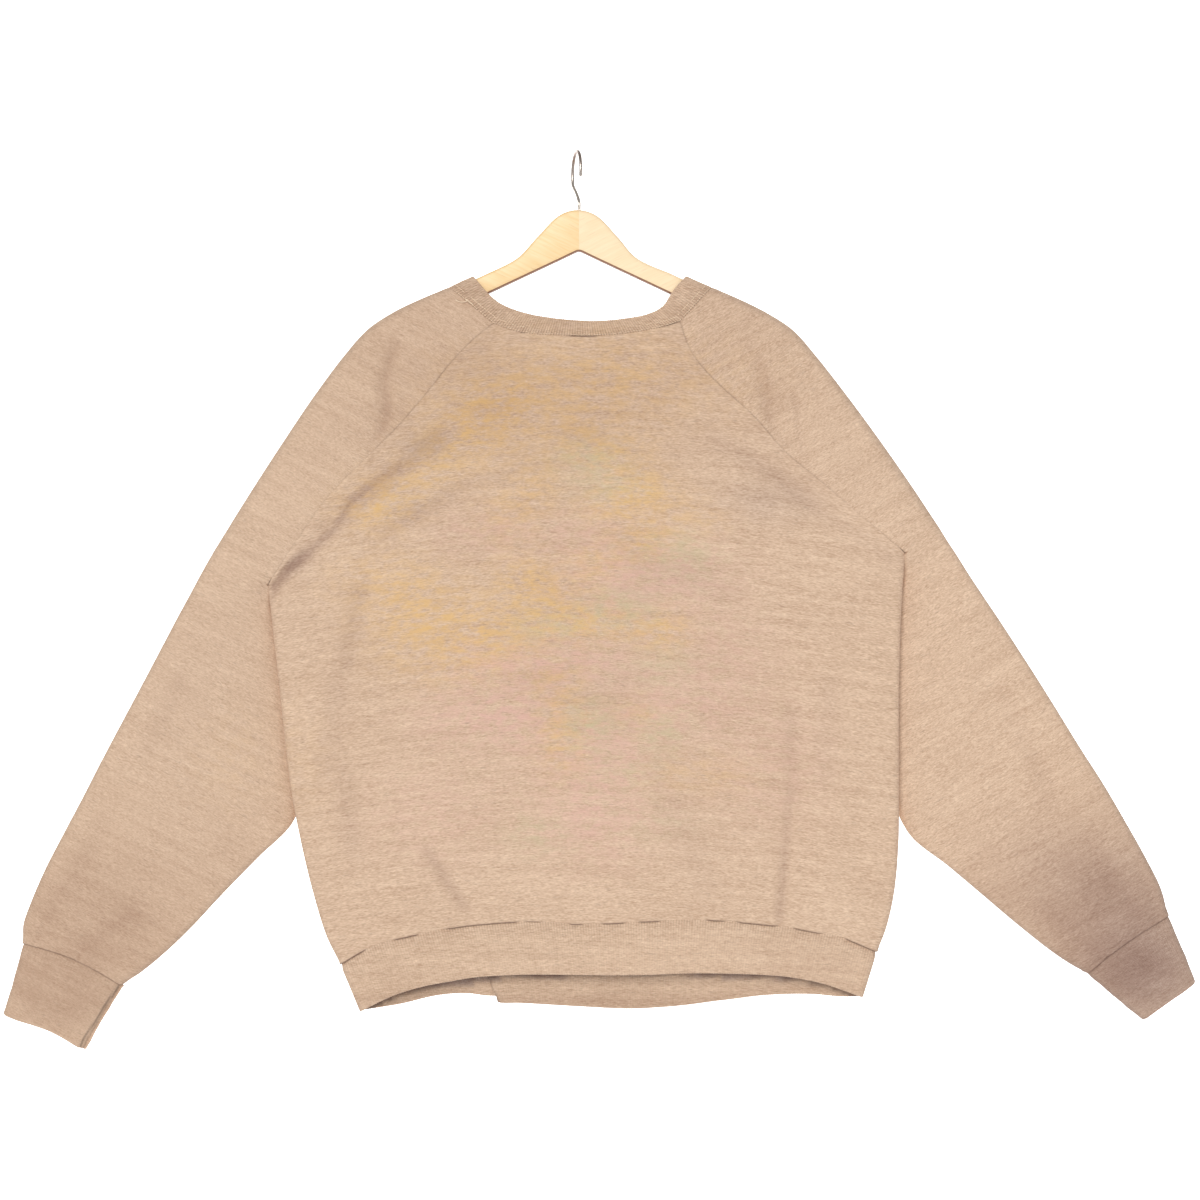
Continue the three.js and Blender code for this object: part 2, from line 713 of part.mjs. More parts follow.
const sheets = {
  back: bodySheet(backFace),
  front: bodySheet(frontFace),
  sleeve_left: sleeveSheet('left'),
  sleeve_right: sleeveSheet('right'),
}
const firstRow = (name) => sheets[name][0]
const lastRow = (name) => sheets[name][sheets[name].length - 1]
const neckRing = ringOf(['back', 'sleeve_right', 'front', 'sleeve_left'].map(firstRow))
const closed = (sheet) => sheet.map((row) => [...row, row[0]])
sheets.collar = closed(collarSheet(neckRing))
const hemRing = ringOf([lastRow('back'), lastRow('front')])
const hem = closed(hemSheet(hemRing))
const rightEnd = halvesOf(hemRing).back.length - 1
sheets.hem_band_back = halfBand(hem, 0, rightEnd, backFace)
sheets.hem_band_front = halfBand(hem, rightEnd, hem[0].length - 1, frontFace)
for (const side of ['left', 'right']) {
  sheets[`cuff_${side}`] = closed(cuffSheet(side, lastRow(`sleeve_${side}`).slice(0, -1)))
}

const underarmRow = raglanSteps.length - 1
const closedFrom = {
  sleeve_left: underarmRow,
  sleeve_right: underarmRow,
  collar: 0,
  cuff_left: 0,
  cuff_right: 0,
}
const welded = {}
for (const [name, sheet] of Object.entries(sheets)) {
  welded[name] = weldedSheet(sheet, closedFrom[name] ?? Infinity)
}
matchSeams(Object.values(welded))

const sweatshirt = new THREE.Group()
sweatshirt.position.x = hookOffset

function addMesh(name, geometry, colour, roughness, metalness = 0) {
  geometry.computeVertexNormals()
  const material = new THREE.MeshStandardMaterial({ color: colour, roughness, metalness })
  const mesh = new THREE.Mesh(geometry, material)
  mesh.name = name
  sweatshirt.add(mesh)
}

const ribbed = ['collar', 'hem_band_back', 'hem_band_front', 'cuff_left', 'cuff_right']
for (const [name, piece] of Object.entries(welded)) {
  const isRib = ribbed.includes(name)
  addMesh(name, wallGeometry(piece, isRib ? ribWall : fleeceWall), isRib ? colours.rib : colours.cloth, 0.95)
}
const arms = hangerArms()
addMesh('hanger_arm_left', arms.left, colours.wood, 0.45)
addMesh('hanger_arm_right', arms.right, colours.woodPale, 0.45)
addMesh('hanger_hook', hookGeometry(), colours.steel, 0.25, 1)

export default sweatshirt
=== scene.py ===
"""A raglan crewneck sweatshirt hung flat on a wooden hanger, with its ribs, seams, stitches and a stage."""

import math
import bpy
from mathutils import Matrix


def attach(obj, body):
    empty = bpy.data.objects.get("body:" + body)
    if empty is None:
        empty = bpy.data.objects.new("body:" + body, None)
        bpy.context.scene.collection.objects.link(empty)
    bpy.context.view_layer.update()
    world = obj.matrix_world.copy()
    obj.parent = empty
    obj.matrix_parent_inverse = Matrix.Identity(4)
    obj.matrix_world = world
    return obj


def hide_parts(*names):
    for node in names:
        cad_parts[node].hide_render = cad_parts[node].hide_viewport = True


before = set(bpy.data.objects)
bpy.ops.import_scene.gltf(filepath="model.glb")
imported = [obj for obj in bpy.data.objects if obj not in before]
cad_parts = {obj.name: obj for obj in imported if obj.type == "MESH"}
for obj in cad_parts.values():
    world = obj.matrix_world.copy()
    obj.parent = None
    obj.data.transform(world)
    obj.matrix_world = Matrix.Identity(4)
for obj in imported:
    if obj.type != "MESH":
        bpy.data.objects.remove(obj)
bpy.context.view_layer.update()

from types import SimpleNamespace

import bmesh
import bpy
import numpy as np
from bpy.props import FloatProperty, FloatVectorProperty, IntProperty, PointerProperty
from mathutils import Vector

bl_info = {
    "name": "Crewneck Sweatshirt on a Hanger",
    "version": (1, 0, 0),
    "blender": (4, 5, 0),
    "location": "View3D > Sidebar > Sweatshirt",
    "description": "Raglan fleece sweatshirt with rib bands, hung on a wooden hanger, and a pale stage",
    "category": "Object",
}

MM = 0.001


def table(columns, rows):
    """Rows with named columns. Lengths are in millimetres, measured from the middle of the hanger."""
    return [SimpleNamespace(**dict(zip(columns.split(), row))) for row in rows]


# Sizes shared with the solids, in millimetres
SEAM_GAP = 0.04  # the sewn edges meet here, where the solids stay 0.3 mm apart
HOOK_OFFSET = 2.5
SHOULDER_FOLD = SimpleNamespace(depth=9.6, run=11.5, swell=40)
SLEEVE_FOLD = SimpleNamespace(depth=7, run=7.5, swell=40)
SIDE_FOLD = SimpleNamespace(depth=7, run=7, swell=120)
SLEEVE_FOLD_FADE = 4.25  # the shoulder's fold becomes the sleeve's within the first of this many parts
TUCK = SimpleNamespace(depth=6, below=8, reach=9)  # the sleeve goes behind the body under the arm
BACK, FRONT = -1, 1
SIGN = {"left": -1, "right": 1}

RAGLAN = {
    "left": table("outer_x outer_z seam_x seam_z fullness", [
        (-137, -141, -90, -180, 11),
        (-166, -153, -110, -196, 11.5),
        (-195, -167, -134, -221, 12),
        (-222, -185, -162, -256, 12.5),
        (-247, -213, -190, -288, 13),
        (-279, -256, -223, -321, 14),
        (-311, -303.5, -260, -358.5, 15),
        (-345, -356, -294, -405, 15.5),
        (-383, -417, -326.6, -453.6, 16),
    ]),
    "right": table("outer_x outer_z seam_x seam_z fullness", [
        (140, -141, 106, -178, 11),
        (169, -153.5, 114, -202, 11.5),
        (198, -168, 128, -224, 12),
        (225, -186, 150, -247, 12.5),
        (249, -213, 183, -277, 13),
        (281, -254, 216, -314, 14),
        (312, -296, 255, -347, 15),
        (345, -343, 299, -384, 15.5),
        (378, -392.5, 342.3, -420, 16),
    ]),
}
SLEEVE_COLUMNS = "outer_x outer_z inner_x inner_z fullness outer_back inner_back bow"
SLEEVE = {
    "left": table(SLEEVE_COLUMNS, [
        (-383, -417, -326.6, -453.6, 16, 0, 0, 0),
        (-390, -429, -327, -463, 15.5, 0.5, 5, 0),
        (-399, -445, -321.5, -482, 15, 1, 13, 0),
        (-409, -463.5, -314, -512, 14.5, 2, 16.5, 0),
        (-422, -487, -306, -556, 14, 3, 17.5, 0),
        (-438, -517, -299, -612, 13.5, 4, 17.5, 0),
        (-459, -556.5, -294, -668, 13, 5, 17, 0),
        (-480, -595.5, -302, -703, 13, 6, 16, 0),
        (-501, -635, -339, -741, 12.5, 6, 13, 0),
        (-522, -676, -375, -778, 12.5, 6, 10, 0),
        (-543, -716, -410, -815.5, 12, 5, 8, 1),
        (-562, -753, -439, -843, 12, 5, 6, 3),
        (-576.5, -787, -462, -861.5, 12, 4, 5, 5),
        (-584.5, -811, -474, -869, 12, 4, 4.5, 6),
        (-584, -829, -481, -873, 11.5, 4, 4, 7),
    ]),
    "right": table(SLEEVE_COLUMNS, [
        (378, -392.5, 342.3, -420, 16, 0, 0, 0),
        (387, -407, 343.3, -431, 15.5, 0.5, 5, 0),
        (397, -422, 339, -449, 15, 1, 13, 0),
        (409, -441, 331, -478, 14.5, 2, 16.5, 0),
        (423, -462, 325.5, -520, 14, 3, 17.5, 0),
        (441, -488.5, 324.5, -574, 13.5, 4, 17.5, 0),
        (463, -522, 326, -630, 13, 5, 17, 0),
        (485, -556, 331, -676, 13, 6, 16.5, 0),
        (506.5, -590.5, 349, -717, 12.5, 6, 14, 0),
        (529, -627, 389, -749.5, 12.5, 6, 11, 0),
        (551, -661.5, 424, -779, 12, 5, 9, 1),
        (573, -699, 460, -809.5, 12, 5, 7, 2),
        (598, -744, 496, -838, 12, 4, 5, 3),
        (612, -773, 516, -851.5, 12, 4, 4.5, 4),
        (619, -800, 533.4, -861, 11.5, 4, 4, 4),
    ]),
}
CUFF = {
    "left": table("outer_x outer_z inner_x inner_z fullness", [
        (-584, -829, -481, -873, 11.5),
        (-593.5, -866, -504, -908, 12),
        (-605, -903.5, -521, -940.8, 12.5),
    ]),
    "right": table("outer_x outer_z inner_x inner_z fullness", [
        (619, -800, 533.4, -861, 11.5),
        (634, -834, 562, -886, 12.5),
        (647.9, -869.4, 592.2, -910.4, 13),
    ]),
}
SIDES = table("left_x left_z right_x right_z fullness", [
    (-326.6, -453.6, 342.3, -420, 16),
    (-321, -505, 338.5, -480, 16.5),
    (-314.5, -562, 336.5, -545, 17),
    (-308.7, -616, 336, -610, 17),
    (-302, -670, 336, -670, 17),
    (-292, -723, 335.5, -723, 17),
    (-279, -777, 331, -775, 17),
    (-265, -822, 322, -815, 17),
    (-251, -850.5, 313, -837, 17),
])
NECK_SEAM = {
    BACK: table("x z", [
        (-90, -180), (-63, -189), (-20, -192.6), (19, -193.2), (45, -191), (86, -184), (106, -178),
    ]),
    FRONT: table("x z", [
        (-83, -212), (-62, -237), (-30, -252), (10, -257), (48, -251), (78, -236), (99, -210),
    ]),
}
COLLAR_EDGE = {
    BACK: table("x z", [
        (-111, -128.8), (-96, -146.5), (-84, -157), (-72, -163), (-52, -169), (-20, -173.8),
        (16, -176), (54, -172.8), (74, -168.5), (87, -161.5), (97, -147), (112, -128.8),
    ]),
    FRONT: table("x z", [
        (-111, -128.8), (-91, -160), (-72, -188), (-50, -212), (-22, -226), (10, -231),
        (40, -226), (65, -212), (86, -187), (100, -158), (112, -128.8),
    ]),
}
HEM_SEAM = {
    BACK: table("x z", [
        (-251, -850.5), (-223, -834), (-193, -823), (-163, -816), (-122, -808.5), (-60, -803.5),
        (1, -806.5), (60, -804), (132, -802), (207, -808.5), (252, -816), (276, -821.5), (313, -837),
    ]),
    FRONT: table("x z", [
        (-251, -850.5), (-200, -847), (-120, -841), (-60, -845), (10, -849),
        (100, -848), (200, -841), (260, -837), (313, -837),
    ]),
}
HEM_EDGE = {
    BACK: table("x z", [
        (-230, -901), (-197, -884), (-166, -873.5), (-134, -867), (-103, -862.5), (-60, -860),
        (54, -860.5), (126, -858.5), (194, -860.5), (227, -864), (258, -871), (298, -886),
    ]),
    FRONT: table("x z", [
        (-230, -901), (-190, -895.5), (-147, -886.5), (-113, -885.5), (-84, -893), (-61, -894), (1, -898),
        (55, -900.5), (107, -897.5), (149, -892), (191.5, -887), (244, -885), (276, -887), (298, -886),
    ]),
}
FRONT_SEAM_DROP = SimpleNamespace(x=7, z=-32, fade=1.5)
COLLAR_LEAN = SimpleNamespace(shoulder=9.8, middle=6.8, start=40, over=55, bulge=0.8)

# Folds of the solids, which are part of what shows here, then finer creases that only the cloth here
# has. Each is a soft trough along a line, or a ridge where its depth is below 0.
FOLD_SHARE = 0.55
FOLD_COLUMNS = "x1 z1 x2 z2 width depth"
FOLDS = {
    BACK: table(FOLD_COLUMNS, [
        (-135, -290, -225, -350, 20, 4.5),
        (-225, -350, -312, -440, 20, 5),
        (-125, -354, -205, -398, 20, 2.5),
        (-190, -222, -204, -291, 16, 3.5),
        (195, -240, 216, -307, 15, 3.5),
        (170, -312, 290, -396, 22, 4),
        (-214, -470, -246, -640, 24, 3.5),
        (-162, -705, -125, -800, 22, 3.5),
        (216, -532, 216, -800, 24, 4),
        (-395, -520, -455, -640, 24, 3),
        (440, -560, 500, -690, 24, 3),
    ]),
    FRONT: table(FOLD_COLUMNS, [
        (-140, -330, -300, -440, 24, 4.5),
        (150, -330, 318, -410, 24, 4.5),
        (-200, -220, -214, -300, 18, 3.5),
        (200, -240, 222, -310, 18, 3.5),
        (-98, -640, -98, -900, 16, 5),
        (150, -560, 170, -850, 26, 4),
        (-400, -540, -455, -650, 26, 3),
        (430, -560, 500, -690, 26, 3),
    ]),
}
CREASES = {
    BACK: table(FOLD_COLUMNS, [
        (-324, -455, -311, -442, 9, 4.6),
        (-311, -441, -285, -421, 6.0, 4.8),
        (-285, -420, -256, -394, 4.8, 3.9),
        (-256, -394, -237, -365, 4.8, 3.6),
        (-237, -365, -215, -347, 5.4, 3.4),
        (-215, -347, -188, -330, 7, 2.8),
        (-188, -330, -150, -302, 11, 2.0),
        (-305, -438, -256, -394, 13, 1.6),
        (-256, -394, -198, -338, 13, 1.6),
        (-325, -466, -316, -449, 6, 3.0),
        (-188, -330, -150, -308, 9, 1.3),
        (-304, -462, -240, -402, 9, -1.2),
        (-238, -398, -160, -350, 11, -1.0),
        (-125, -352, -198, -396, 10, 1.4),
        (-110, -372, -190, -418, 12, -0.7),
        (-72, -330, -150, -372, 13, 0.7),
        (-193, -208, -204, -240, 6.5, 1.4),
        (-204, -240, -200, -277, 7, 2.0),
        (-200, -277, -209, -301, 6, 2.0),
        (-209, -301, -217, -322, 5, 1.6),
        (-186, -222, -190, -276, 7, -0.9),
        (-214, -232, -218, -290, 7, -0.8),
        (188, -226, 196, -262, 9, 1.6),
        (196, -262, 198, -290, 8, 2.0),
        (198, -290, 216, -311, 6.5, 2.3),
        (181, -240, 188, -282, 7, -1.0),
        (226, -258, 232, -310, 3.2, 1.1),
        (232, -310, 240, -340, 3.6, 0.8),
        (142, -301, 172, -319, 12, 0.8),
        (172, -319, 208, -340, 12, 1.3),
        (208, -340, 243, -372, 12, 1.3),
        (243, -372, 318, -424, 11, 0.8),
        (300, -402, 338, -428, 8, 0.6),
        (180, -352, 300, -428, 13, -0.9),
        (-229, -462, -241, -532, 11, 1.3),
        (-206, -470, -222, -540, 13, -0.7),
        (-252, -560, -262, -640, 13, 0.9),
        (-246, -655, -238, -720, 13, 0.9),
        (-156, -734, -122, -786, 7, 1.6),
        (-128, -726, -96, -780, 9, -0.9),
        (221, -592, 222, -674, 9, 0.9),
        (221, -670, 216, -735, 6, 1.5),
        (216, -733, 210, -800, 5, 2.0),
        (226, -690, 223, -800, 6, -0.8),
        (60, -420, 150, -460, 16, 0.6),
        (-40, -560, 40, -575, 20, 0.5),
        (90, -660, 130, -760, 18, 0.6),
        (262, -560, 256, -650, 12, 0.6),
        (-420, -560, -452, -622, 10, 0.8),
        (-500, -700, -536, -770, 12, 0.8),
        (-470, -800, -520, -832, 9, 0.8),
        (-540, -770, -566, -815, 8, 0.8),
        (452, -580, 492, -672, 10, 0.8),
        (540, -730, 580, -790, 11, 0.8),
        (500, -800, 545, -842, 9, 0.8),
        (590, -760, 604, -792, 7, 0.7),
    ]),
    FRONT: table(FOLD_COLUMNS, [
        (-160, -342, -250, -402, 7, 1.6),
        (-262, -412, -322, -456, 7, 2.0),
        (-150, -366, -240, -424, 10, -0.9),
        (170, -338, 262, -386, 8, 1.5),
        (270, -390, 340, -436, 8, 1.9),
        (160, -362, 262, -420, 11, -0.9),
        (-206, -232, -214, -296, 6, 1.5),
        (208, -250, 220, -304, 6, 1.5),
        (-60, -300, 20, -318, 14, 0.7),
        (40, -330, 110, -350, 15, 0.6),
        (-230, -520, -250, -640, 13, 0.9),
        (-98, -700, -97, -850, 6, 1.6),
        (158, -620, 166, -820, 9, 1.1),
        (232, -560, 226, -690, 13, 0.8),
        (-20, -600, 60, -620, 19, 0.5),
        (-430, -580, -462, -640, 10, 0.8),
        (-500, -720, -540, -780, 12, 0.8),
        (450, -590, 496, -680, 10, 0.8),
        (545, -740, 582, -795, 11, 0.8),
    ]),
}

# Painted shade in the creases: each millimetre of a crease's depth makes the cloth darker and greyer by these
# shares
CREASE_SHADE, CREASE_COOL = 0.135, 0.1  # how much a millimetre of a crease's depth dulls the cloth

# Where the fleece bulges over the hem band and its seam shows as a dark line of painted shade under the
# bulge, from one x to another
HEM_BULGES = {
    BACK: table("x1 x2 depth", [
        (-252, -221, 0.9), (-195, -166, 1.0), (-140, -62, 1.15), (-60, -36, 0.6), (-13, 7, 0.8),
        (23, 50, 1.0), (60, 87, 0.9), (131, 155, 0.9), (164, 208, 1.1), (223, 255, 1.0),
        (278, 314, 1.1),
    ]),
    FRONT: table("x1 x2 depth", [
        (-252, -230, 0.8), (-212, -168, 1.0), (-150, -110, 0.9), (-84, -40, 1.1), (-20, 22, 0.9),
        (48, 96, 1.0), (120, 150, 0.8), (176, 226, 1.1), (250, 312, 1.0),
    ]),
}
HEM_PINCHES = {
    BACK: table("x reach depth", [
        (-208, 24, 0.7), (-153, 30, 0.8), (-30, 26, 0.9), (-18, 18, 0.5), (15, 30, 0.9), (55, 24, 0.7),
        (99, 20, 0.5), (118, 26, 0.6), (159, 30, 0.9), (211, 46, 1.2), (218, 16, 0.5), (266, 26, 0.8),
    ]),
    FRONT: table("x reach depth", [
        (-221, 22, 0.7), (-159, 28, 0.8), (-97, 50, 1.2), (-30, 24, 0.7), (35, 30, 0.9), (108, 26, 0.8),
        (163, 40, 1.0), (238, 24, 0.7),
    ]),
}
# Half the width of the dark line along each seam: painted shade in the seam and under cloth bulging over it,
# with the dark of its sunk stitches
DARK_LINE = SimpleNamespace(side=0.8, neck=0.7, sleeve=0.9, cuff=0.6, hem=0.95, collar=0.7, band=0.6)
# A pleat in the far side of the hem with painted shade along its lapped edge, and the slit of its inside that
# shows under the near side, with a painted shadow under the near side's edge and painted grey shade in the
# gaps
HEM_PLEAT = SimpleNamespace(
    top_x=-104, edge_x=-84, depth=9, roll=1.6, run=150, lift=5.2, lift_run=16, shade=1.0,
)
HEM_SIGHT = SimpleNamespace(drop=5.2, fade=0.8, shade=0.6, inside=20)
HEM_GAPS = table("x reach depth", [(-118, 22, 5.5), (-44, 20, 1.6), (171, 38, 4.2), (20, 200, 0.9)])
# The left cuff's edge towards the body folds in: how far in at its top and at its free edge, and the painted
# shade along its fold
CUFF_FOLD = SimpleNamespace(top=1.6, edge=4.4, depth=2.4, wave=0.7, dark=0.45, line=0.6)
CUFF_HOLLOW = {"left": 4.4, "right": 0.8}  # how far the middle of a cuff's free edge curves in
CUFF_BULGES = {"left": [(0.0, 0.55), (0.68, 1.0)], "right": [(0.0, 0.34), (0.4, 0.72), (0.78, 1.0)]}
COLLAR_BULGES = {
    BACK: table("x1 x2 depth", [(-62, -56, 0.7), (-12, 20, 1.0), (86, 106, 0.6)]),
    FRONT: table("x1 x2 depth", [(-80, -60, 0.8), (-30, 12, 0.9), (40, 78, 0.8)]),
}

# Each tint's strength in the cloth, and where its noise starts
TINTS = table("name most start", [("ochre", 0.8, 0.0), ("rose", 0.7, 3.1), ("sage", 0.75, 7.7)])
# Colour left by wear and washing, as soft patches: a tint's strength at a place, and how far it reaches
STAINS = table("tint x z across down strength", [
    ("ochre", -114, -296, 52, 34, 0.85),
    ("ochre", -84, -262, 40, 26, 0.5),
    ("ochre", -190, -352, 40, 26, 0.65),
    ("ochre", -215, -376, 40, 22, 0.75),
    ("ochre", -150, -330, 30, 20, 0.5),
    ("ochre", 36, -318, 40, 24, 0.65),
    ("ochre", -10, -296, 40, 26, 0.45),
    ("ochre", 66, -356, 34, 22, 0.85),
    ("ochre", 30, -372, 34, 20, 0.65),
    ("ochre", -44, -352, 26, 34, 0.55),
    ("ochre", -78, -380, 30, 26, 0.5),
    ("ochre", 70, -408, 30, 22, 0.8),
    ("ochre", 18, -430, 32, 22, 0.6),
    ("ochre", -56, -446, 34, 26, 0.8),
    ("ochre", -20, -470, 40, 22, 0.7),
    ("ochre", 84, -500, 34, 22, 0.9),
    ("ochre", 14, -496, 40, 18, 0.85),
    ("ochre", -74, -500, 60, 26, 0.7),
    ("ochre", -164, -486, 60, 34, 0.8),
    ("ochre", -196, -446, 60, 30, 0.5),
    ("ochre", -130, -530, 70, 30, 0.6),
    ("ochre", -20, -560, 30, 30, 0.6),
    ("ochre", -16, -612, 26, 34, 0.9),
    ("ochre", 60, -590, 30, 22, 0.45),
    ("ochre", 116, -384, 44, 24, 0.4),
    ("ochre", 120, -650, 66, 22, 0.35),
    ("ochre", 10, -240, 130, 44, 0.7),
    ("ochre", -330, -640, 70, 60, 0.2),
    ("rose", -100, -400, 50, 26, 0.5),
    ("rose", 0, -400, 50, 26, 0.5),
    ("rose", 40, -450, 54, 30, 0.75),
    ("rose", 110, -436, 60, 40, 0.6),
    ("rose", -70, -540, 60, 30, 0.65),
    ("rose", 6, -530, 56, 26, 0.7),
    ("rose", -110, -590, 60, 30, 0.75),
    ("rose", -60, -600, 34, 30, 0.6),
    ("rose", 30, -620, 50, 40, 0.7),
    ("rose", 96, -580, 60, 34, 0.7),
    ("rose", 150, -520, 60, 40, 0.4),
    ("rose", 20, -690, 66, 52, 0.8),
    ("rose", 200, -640, 60, 70, 0.4),
    ("rose", -150, -690, 70, 50, 0.4),
    ("sage", 10, -322, 34, 18, 0.7),
    ("sage", 30, -352, 40, 16, 0.5),
    ("sage", 104, -420, 44, 24, 0.65),
    ("sage", 40, -478, 40, 22, 0.75),
    ("sage", -30, -500, 40, 18, 0.5),
    ("sage", 90, -540, 34, 22, 0.5),
    ("sage", 12, -600, 26, 30, 0.85),
    ("sage", 86, -606, 26, 24, 0.7),
    ("sage", 52, -650, 34, 20, 0.45),
    ("sage", -44, -712, 32, 20, 0.55),
    ("sage", 80, -700, 40, 18, 0.4),
])
# Darker patches: painted shade along creases, in the armpits and on the far side of the hem under the near
# side; and darker towards the top of the body and the shoulders, on the lower sleeves and at the cuffs, and a
# little here and there
SHADES = table("x z across down strength", [
    (-20, -255, 205, 66, 0.27),
    (-60, -280, 130, 60, 0.08),
    (-160, -175, 80, 70, 0.2),
    (160, -180, 80, 70, 0.16),
    (-196, -262, 20, 44, 0.07),
    (205, -275, 20, 40, 0.08),
    (-100, -395, 90, 30, 0.06),
    (190, -368, 60, 30, 0.06),
    (0, -520, 200, 120, 0.1),
    (30, -400, 90, 60, 0.07),
    (150, -640, 90, 120, 0.05),
    (-250, -500, 50, 40, 0.04),
    (-225, -610, 30, 90, 0.04),
    (-150, -760, 34, 52, 0.05),
    (214, -700, 26, 110, 0.05),
    (-510, -815, 110, 90, 0.42),
    (-350, -740, 60, 60, 0.10),
    (-555, -880, 70, 50, 0.2),
    (-530, -905, 30, 30, 0.08),
    (535, -775, 105, 90, 0.46),
    (440, -790, 80, 44, 0.14),
    (592, -862, 84, 70, 0.46),
    (560, -880, 50, 50, 0.18),
    (-200, -868, 60, 30, 0.06),
    (-90, -838, 60, 16, 0.06),
    (250, -850, 70, 36, 0.07),
    (0, -894, 330, 15, 0.34),
])
# Greyer patches: painted grey shade along creases of the back's upper part, and greyer at the right cuff and
# on the sleeves
COOL = table("x z across down strength", [
    (596, -860, 90, 76, 1.0),
    (545, -760, 100, 60, 0.4),
    (-400, -600, 60, 120, 0.10),
    (190, -366, 50, 22, 0.35),
    (-296, -432, 20, 14, 0.2),
    (-180, -368, 34, 18, 0.25),
    (-162, -308, 34, 18, 0.3),
])

WOOD = SimpleNamespace(
    thickness=12, edge=3.4, slope=0.47, tip_x=196, tip_reach=6, straight_from_x=95.6, under_from_x=20,
    top_z=-60, shoulder_z=-126.3, v_apex_z=-102.9, under_z=-112.5, hole_depth=24, hole_clearance=0.35,
    apex_half=3.4, apex_share=0.83,
)
HUMP = table("x z", [
    (-95.6, -126.3), (-65.5, -111), (-43.5, -88), (-22, -66.5), (-1.5, -60),
    (19.5, -66.5), (40.5, -88), (61.5, -111), (95.6, -126.3),
])
WIRE = SimpleNamespace(
    bend_radius=22, turn=78, tip_angle=-18, foot_angle=207, angle_step=15, neck_share=0.4, neck_rise=1,
    straight_from=9,
)


def srgb(red, green, blue):
    """A colour as Blender holds it, from its usual numbers of 0 to 255."""
    shares = [value / 255 for value in (red, green, blue)]
    return tuple(s / 12.92 if s <= 0.04045 else ((s + 0.055) / 1.055) ** 2.4 for s in shares)


def length_property(name, description, millimetres):
    return FloatProperty(
        name=name, description=description, default=millimetres * MM, min=0.0, unit="LENGTH", precision=5,
    )


def colour_property(name, description, default):
    return FloatVectorProperty(
        name=name, description=description, default=default, subtype="COLOR", size=3, min=0.0, max=1.0,
    )


class SweatshirtCloth(bpy.types.PropertyGroup):
    """Sizes and colours of the cloth."""

    fleece_wall: length_property("Fleece wall", "Thickness of the body's and sleeves' fleece", 2.0)
    rib_wall: length_property("Rib wall", "Thickness of the doubled rib of the bands", 2.4)
    rib_pitch: length_property("Rib pitch", "Distance from one rib to the next", 2.8)
    rib_depth: length_property("Rib depth", "Depth of the valleys between the ribs", 0.55)
    seam_depth: length_property("Seam depth", "How far the cloth rolls in at a seam", 0.22)
    seam_roll: length_property("Seam roll", "How far from a seam the cloth starts to roll in", 1.4)
    unevenness: length_property("Unevenness", "Height of the cloth's soft unevenness", 0.55)
    stitch_length: length_property("Stitch length", "Length of a stitch along the collar's seam", 3.0)
    thread: length_property("Thread", "Thickness of the sewing thread", 1.0)
    pale_yarn: colour_property("Pale yarn", "Colour of the heather's pale yarn", srgb(231, 204, 178))
    dark_yarn: colour_property("Dark yarn", "Colour of the heather's dark yarn", srgb(184, 152, 127))
    ochre: colour_property("Ochre", "Colour of the yellowed patches", srgb(224, 184, 124))
    rose: colour_property("Rose", "Colour of the pink and mauve patches", srgb(222, 178, 166))
    sage: colour_property("Sage", "Colour of the greenish grey patches", srgb(196, 188, 150))
    # The greyed and dark patches are partly painted shade, in creases and under the near hem
    dulling: colour_property(
        "Dulling", "What the colour of the greyed patches is multiplied by", (0.51, 0.55, 0.75),
    )
    darkening: colour_property(
        "Darkening", "What the colour of the dark patches is multiplied by", (0.57, 0.48, 0.46),
    )
    lining: colour_property("Inside", "Colour of the fleece's brushed inside", srgb(226, 205, 184))
    sewing: colour_property("Sewing", "Colour of the sewing thread", srgb(238, 216, 188))


class SweatshirtHanger(bpy.types.PropertyGroup):
    """Sizes and colours of the hanger."""

    wire_radius: length_property("Wire radius", "Radius of the hook's wire", 1.75)
    warm_wood: colour_property("Warm wood", "Colour of the left arm's wood", srgb(248, 218, 168))
    warm_grain: colour_property("Warm grain", "Colour of the left arm's grain", srgb(238, 196, 130))
    pale_wood: colour_property("Pale wood", "Colour of the right arm's wood", srgb(251, 228, 190))
    pale_grain: colour_property("Pale grain", "Colour of the right arm's grain", srgb(246, 214, 168))
    # The underside's dark brown is painted shade
    raw_wood: colour_property("Underside shade", "Colour of the darkened underside", srgb(152, 108, 82))
    steel: colour_property("Steel", "Colour of the hook", srgb(222, 214, 204))


class SweatshirtStage(bpy.types.PropertyGroup):
    """Camera, lights and backdrop."""

    distance: FloatProperty(
        name="Distance", description="Camera to the hanger", default=2.3, unit="LENGTH",
    )
    width: FloatProperty(
        name="Width", description="Width of the picture at the hanger", default=1.26, unit="LENGTH",
    )
    floor_drop: FloatProperty(
        name="Floor", description="Floor below the hook", default=2.6, unit="LENGTH",
    )
    key_strength: FloatProperty(
        name="Key light", description="Strength of the key light", default=1.6, min=0.0,
    )
    fill_power: FloatProperty(
        name="Fill light", description="Power of the fill light", default=13.0, unit="POWER",
    )
    world: FloatProperty(
        name="World", description="Strength of the light from all round", default=0.42, min=0.0,
    )
    key_softness: FloatProperty(
        name="Key softness", description="Angle that the key light spans", default=math.radians(30),
        unit="ROTATION",
    )
    sweep_steps: IntProperty(
        name="Sweep", description="Steps in the backdrop's curve", default=16, min=2,
    )


# Lines and forms

def column(rows, name):
    return np.array([getattr(row, name) for row in rows], float)


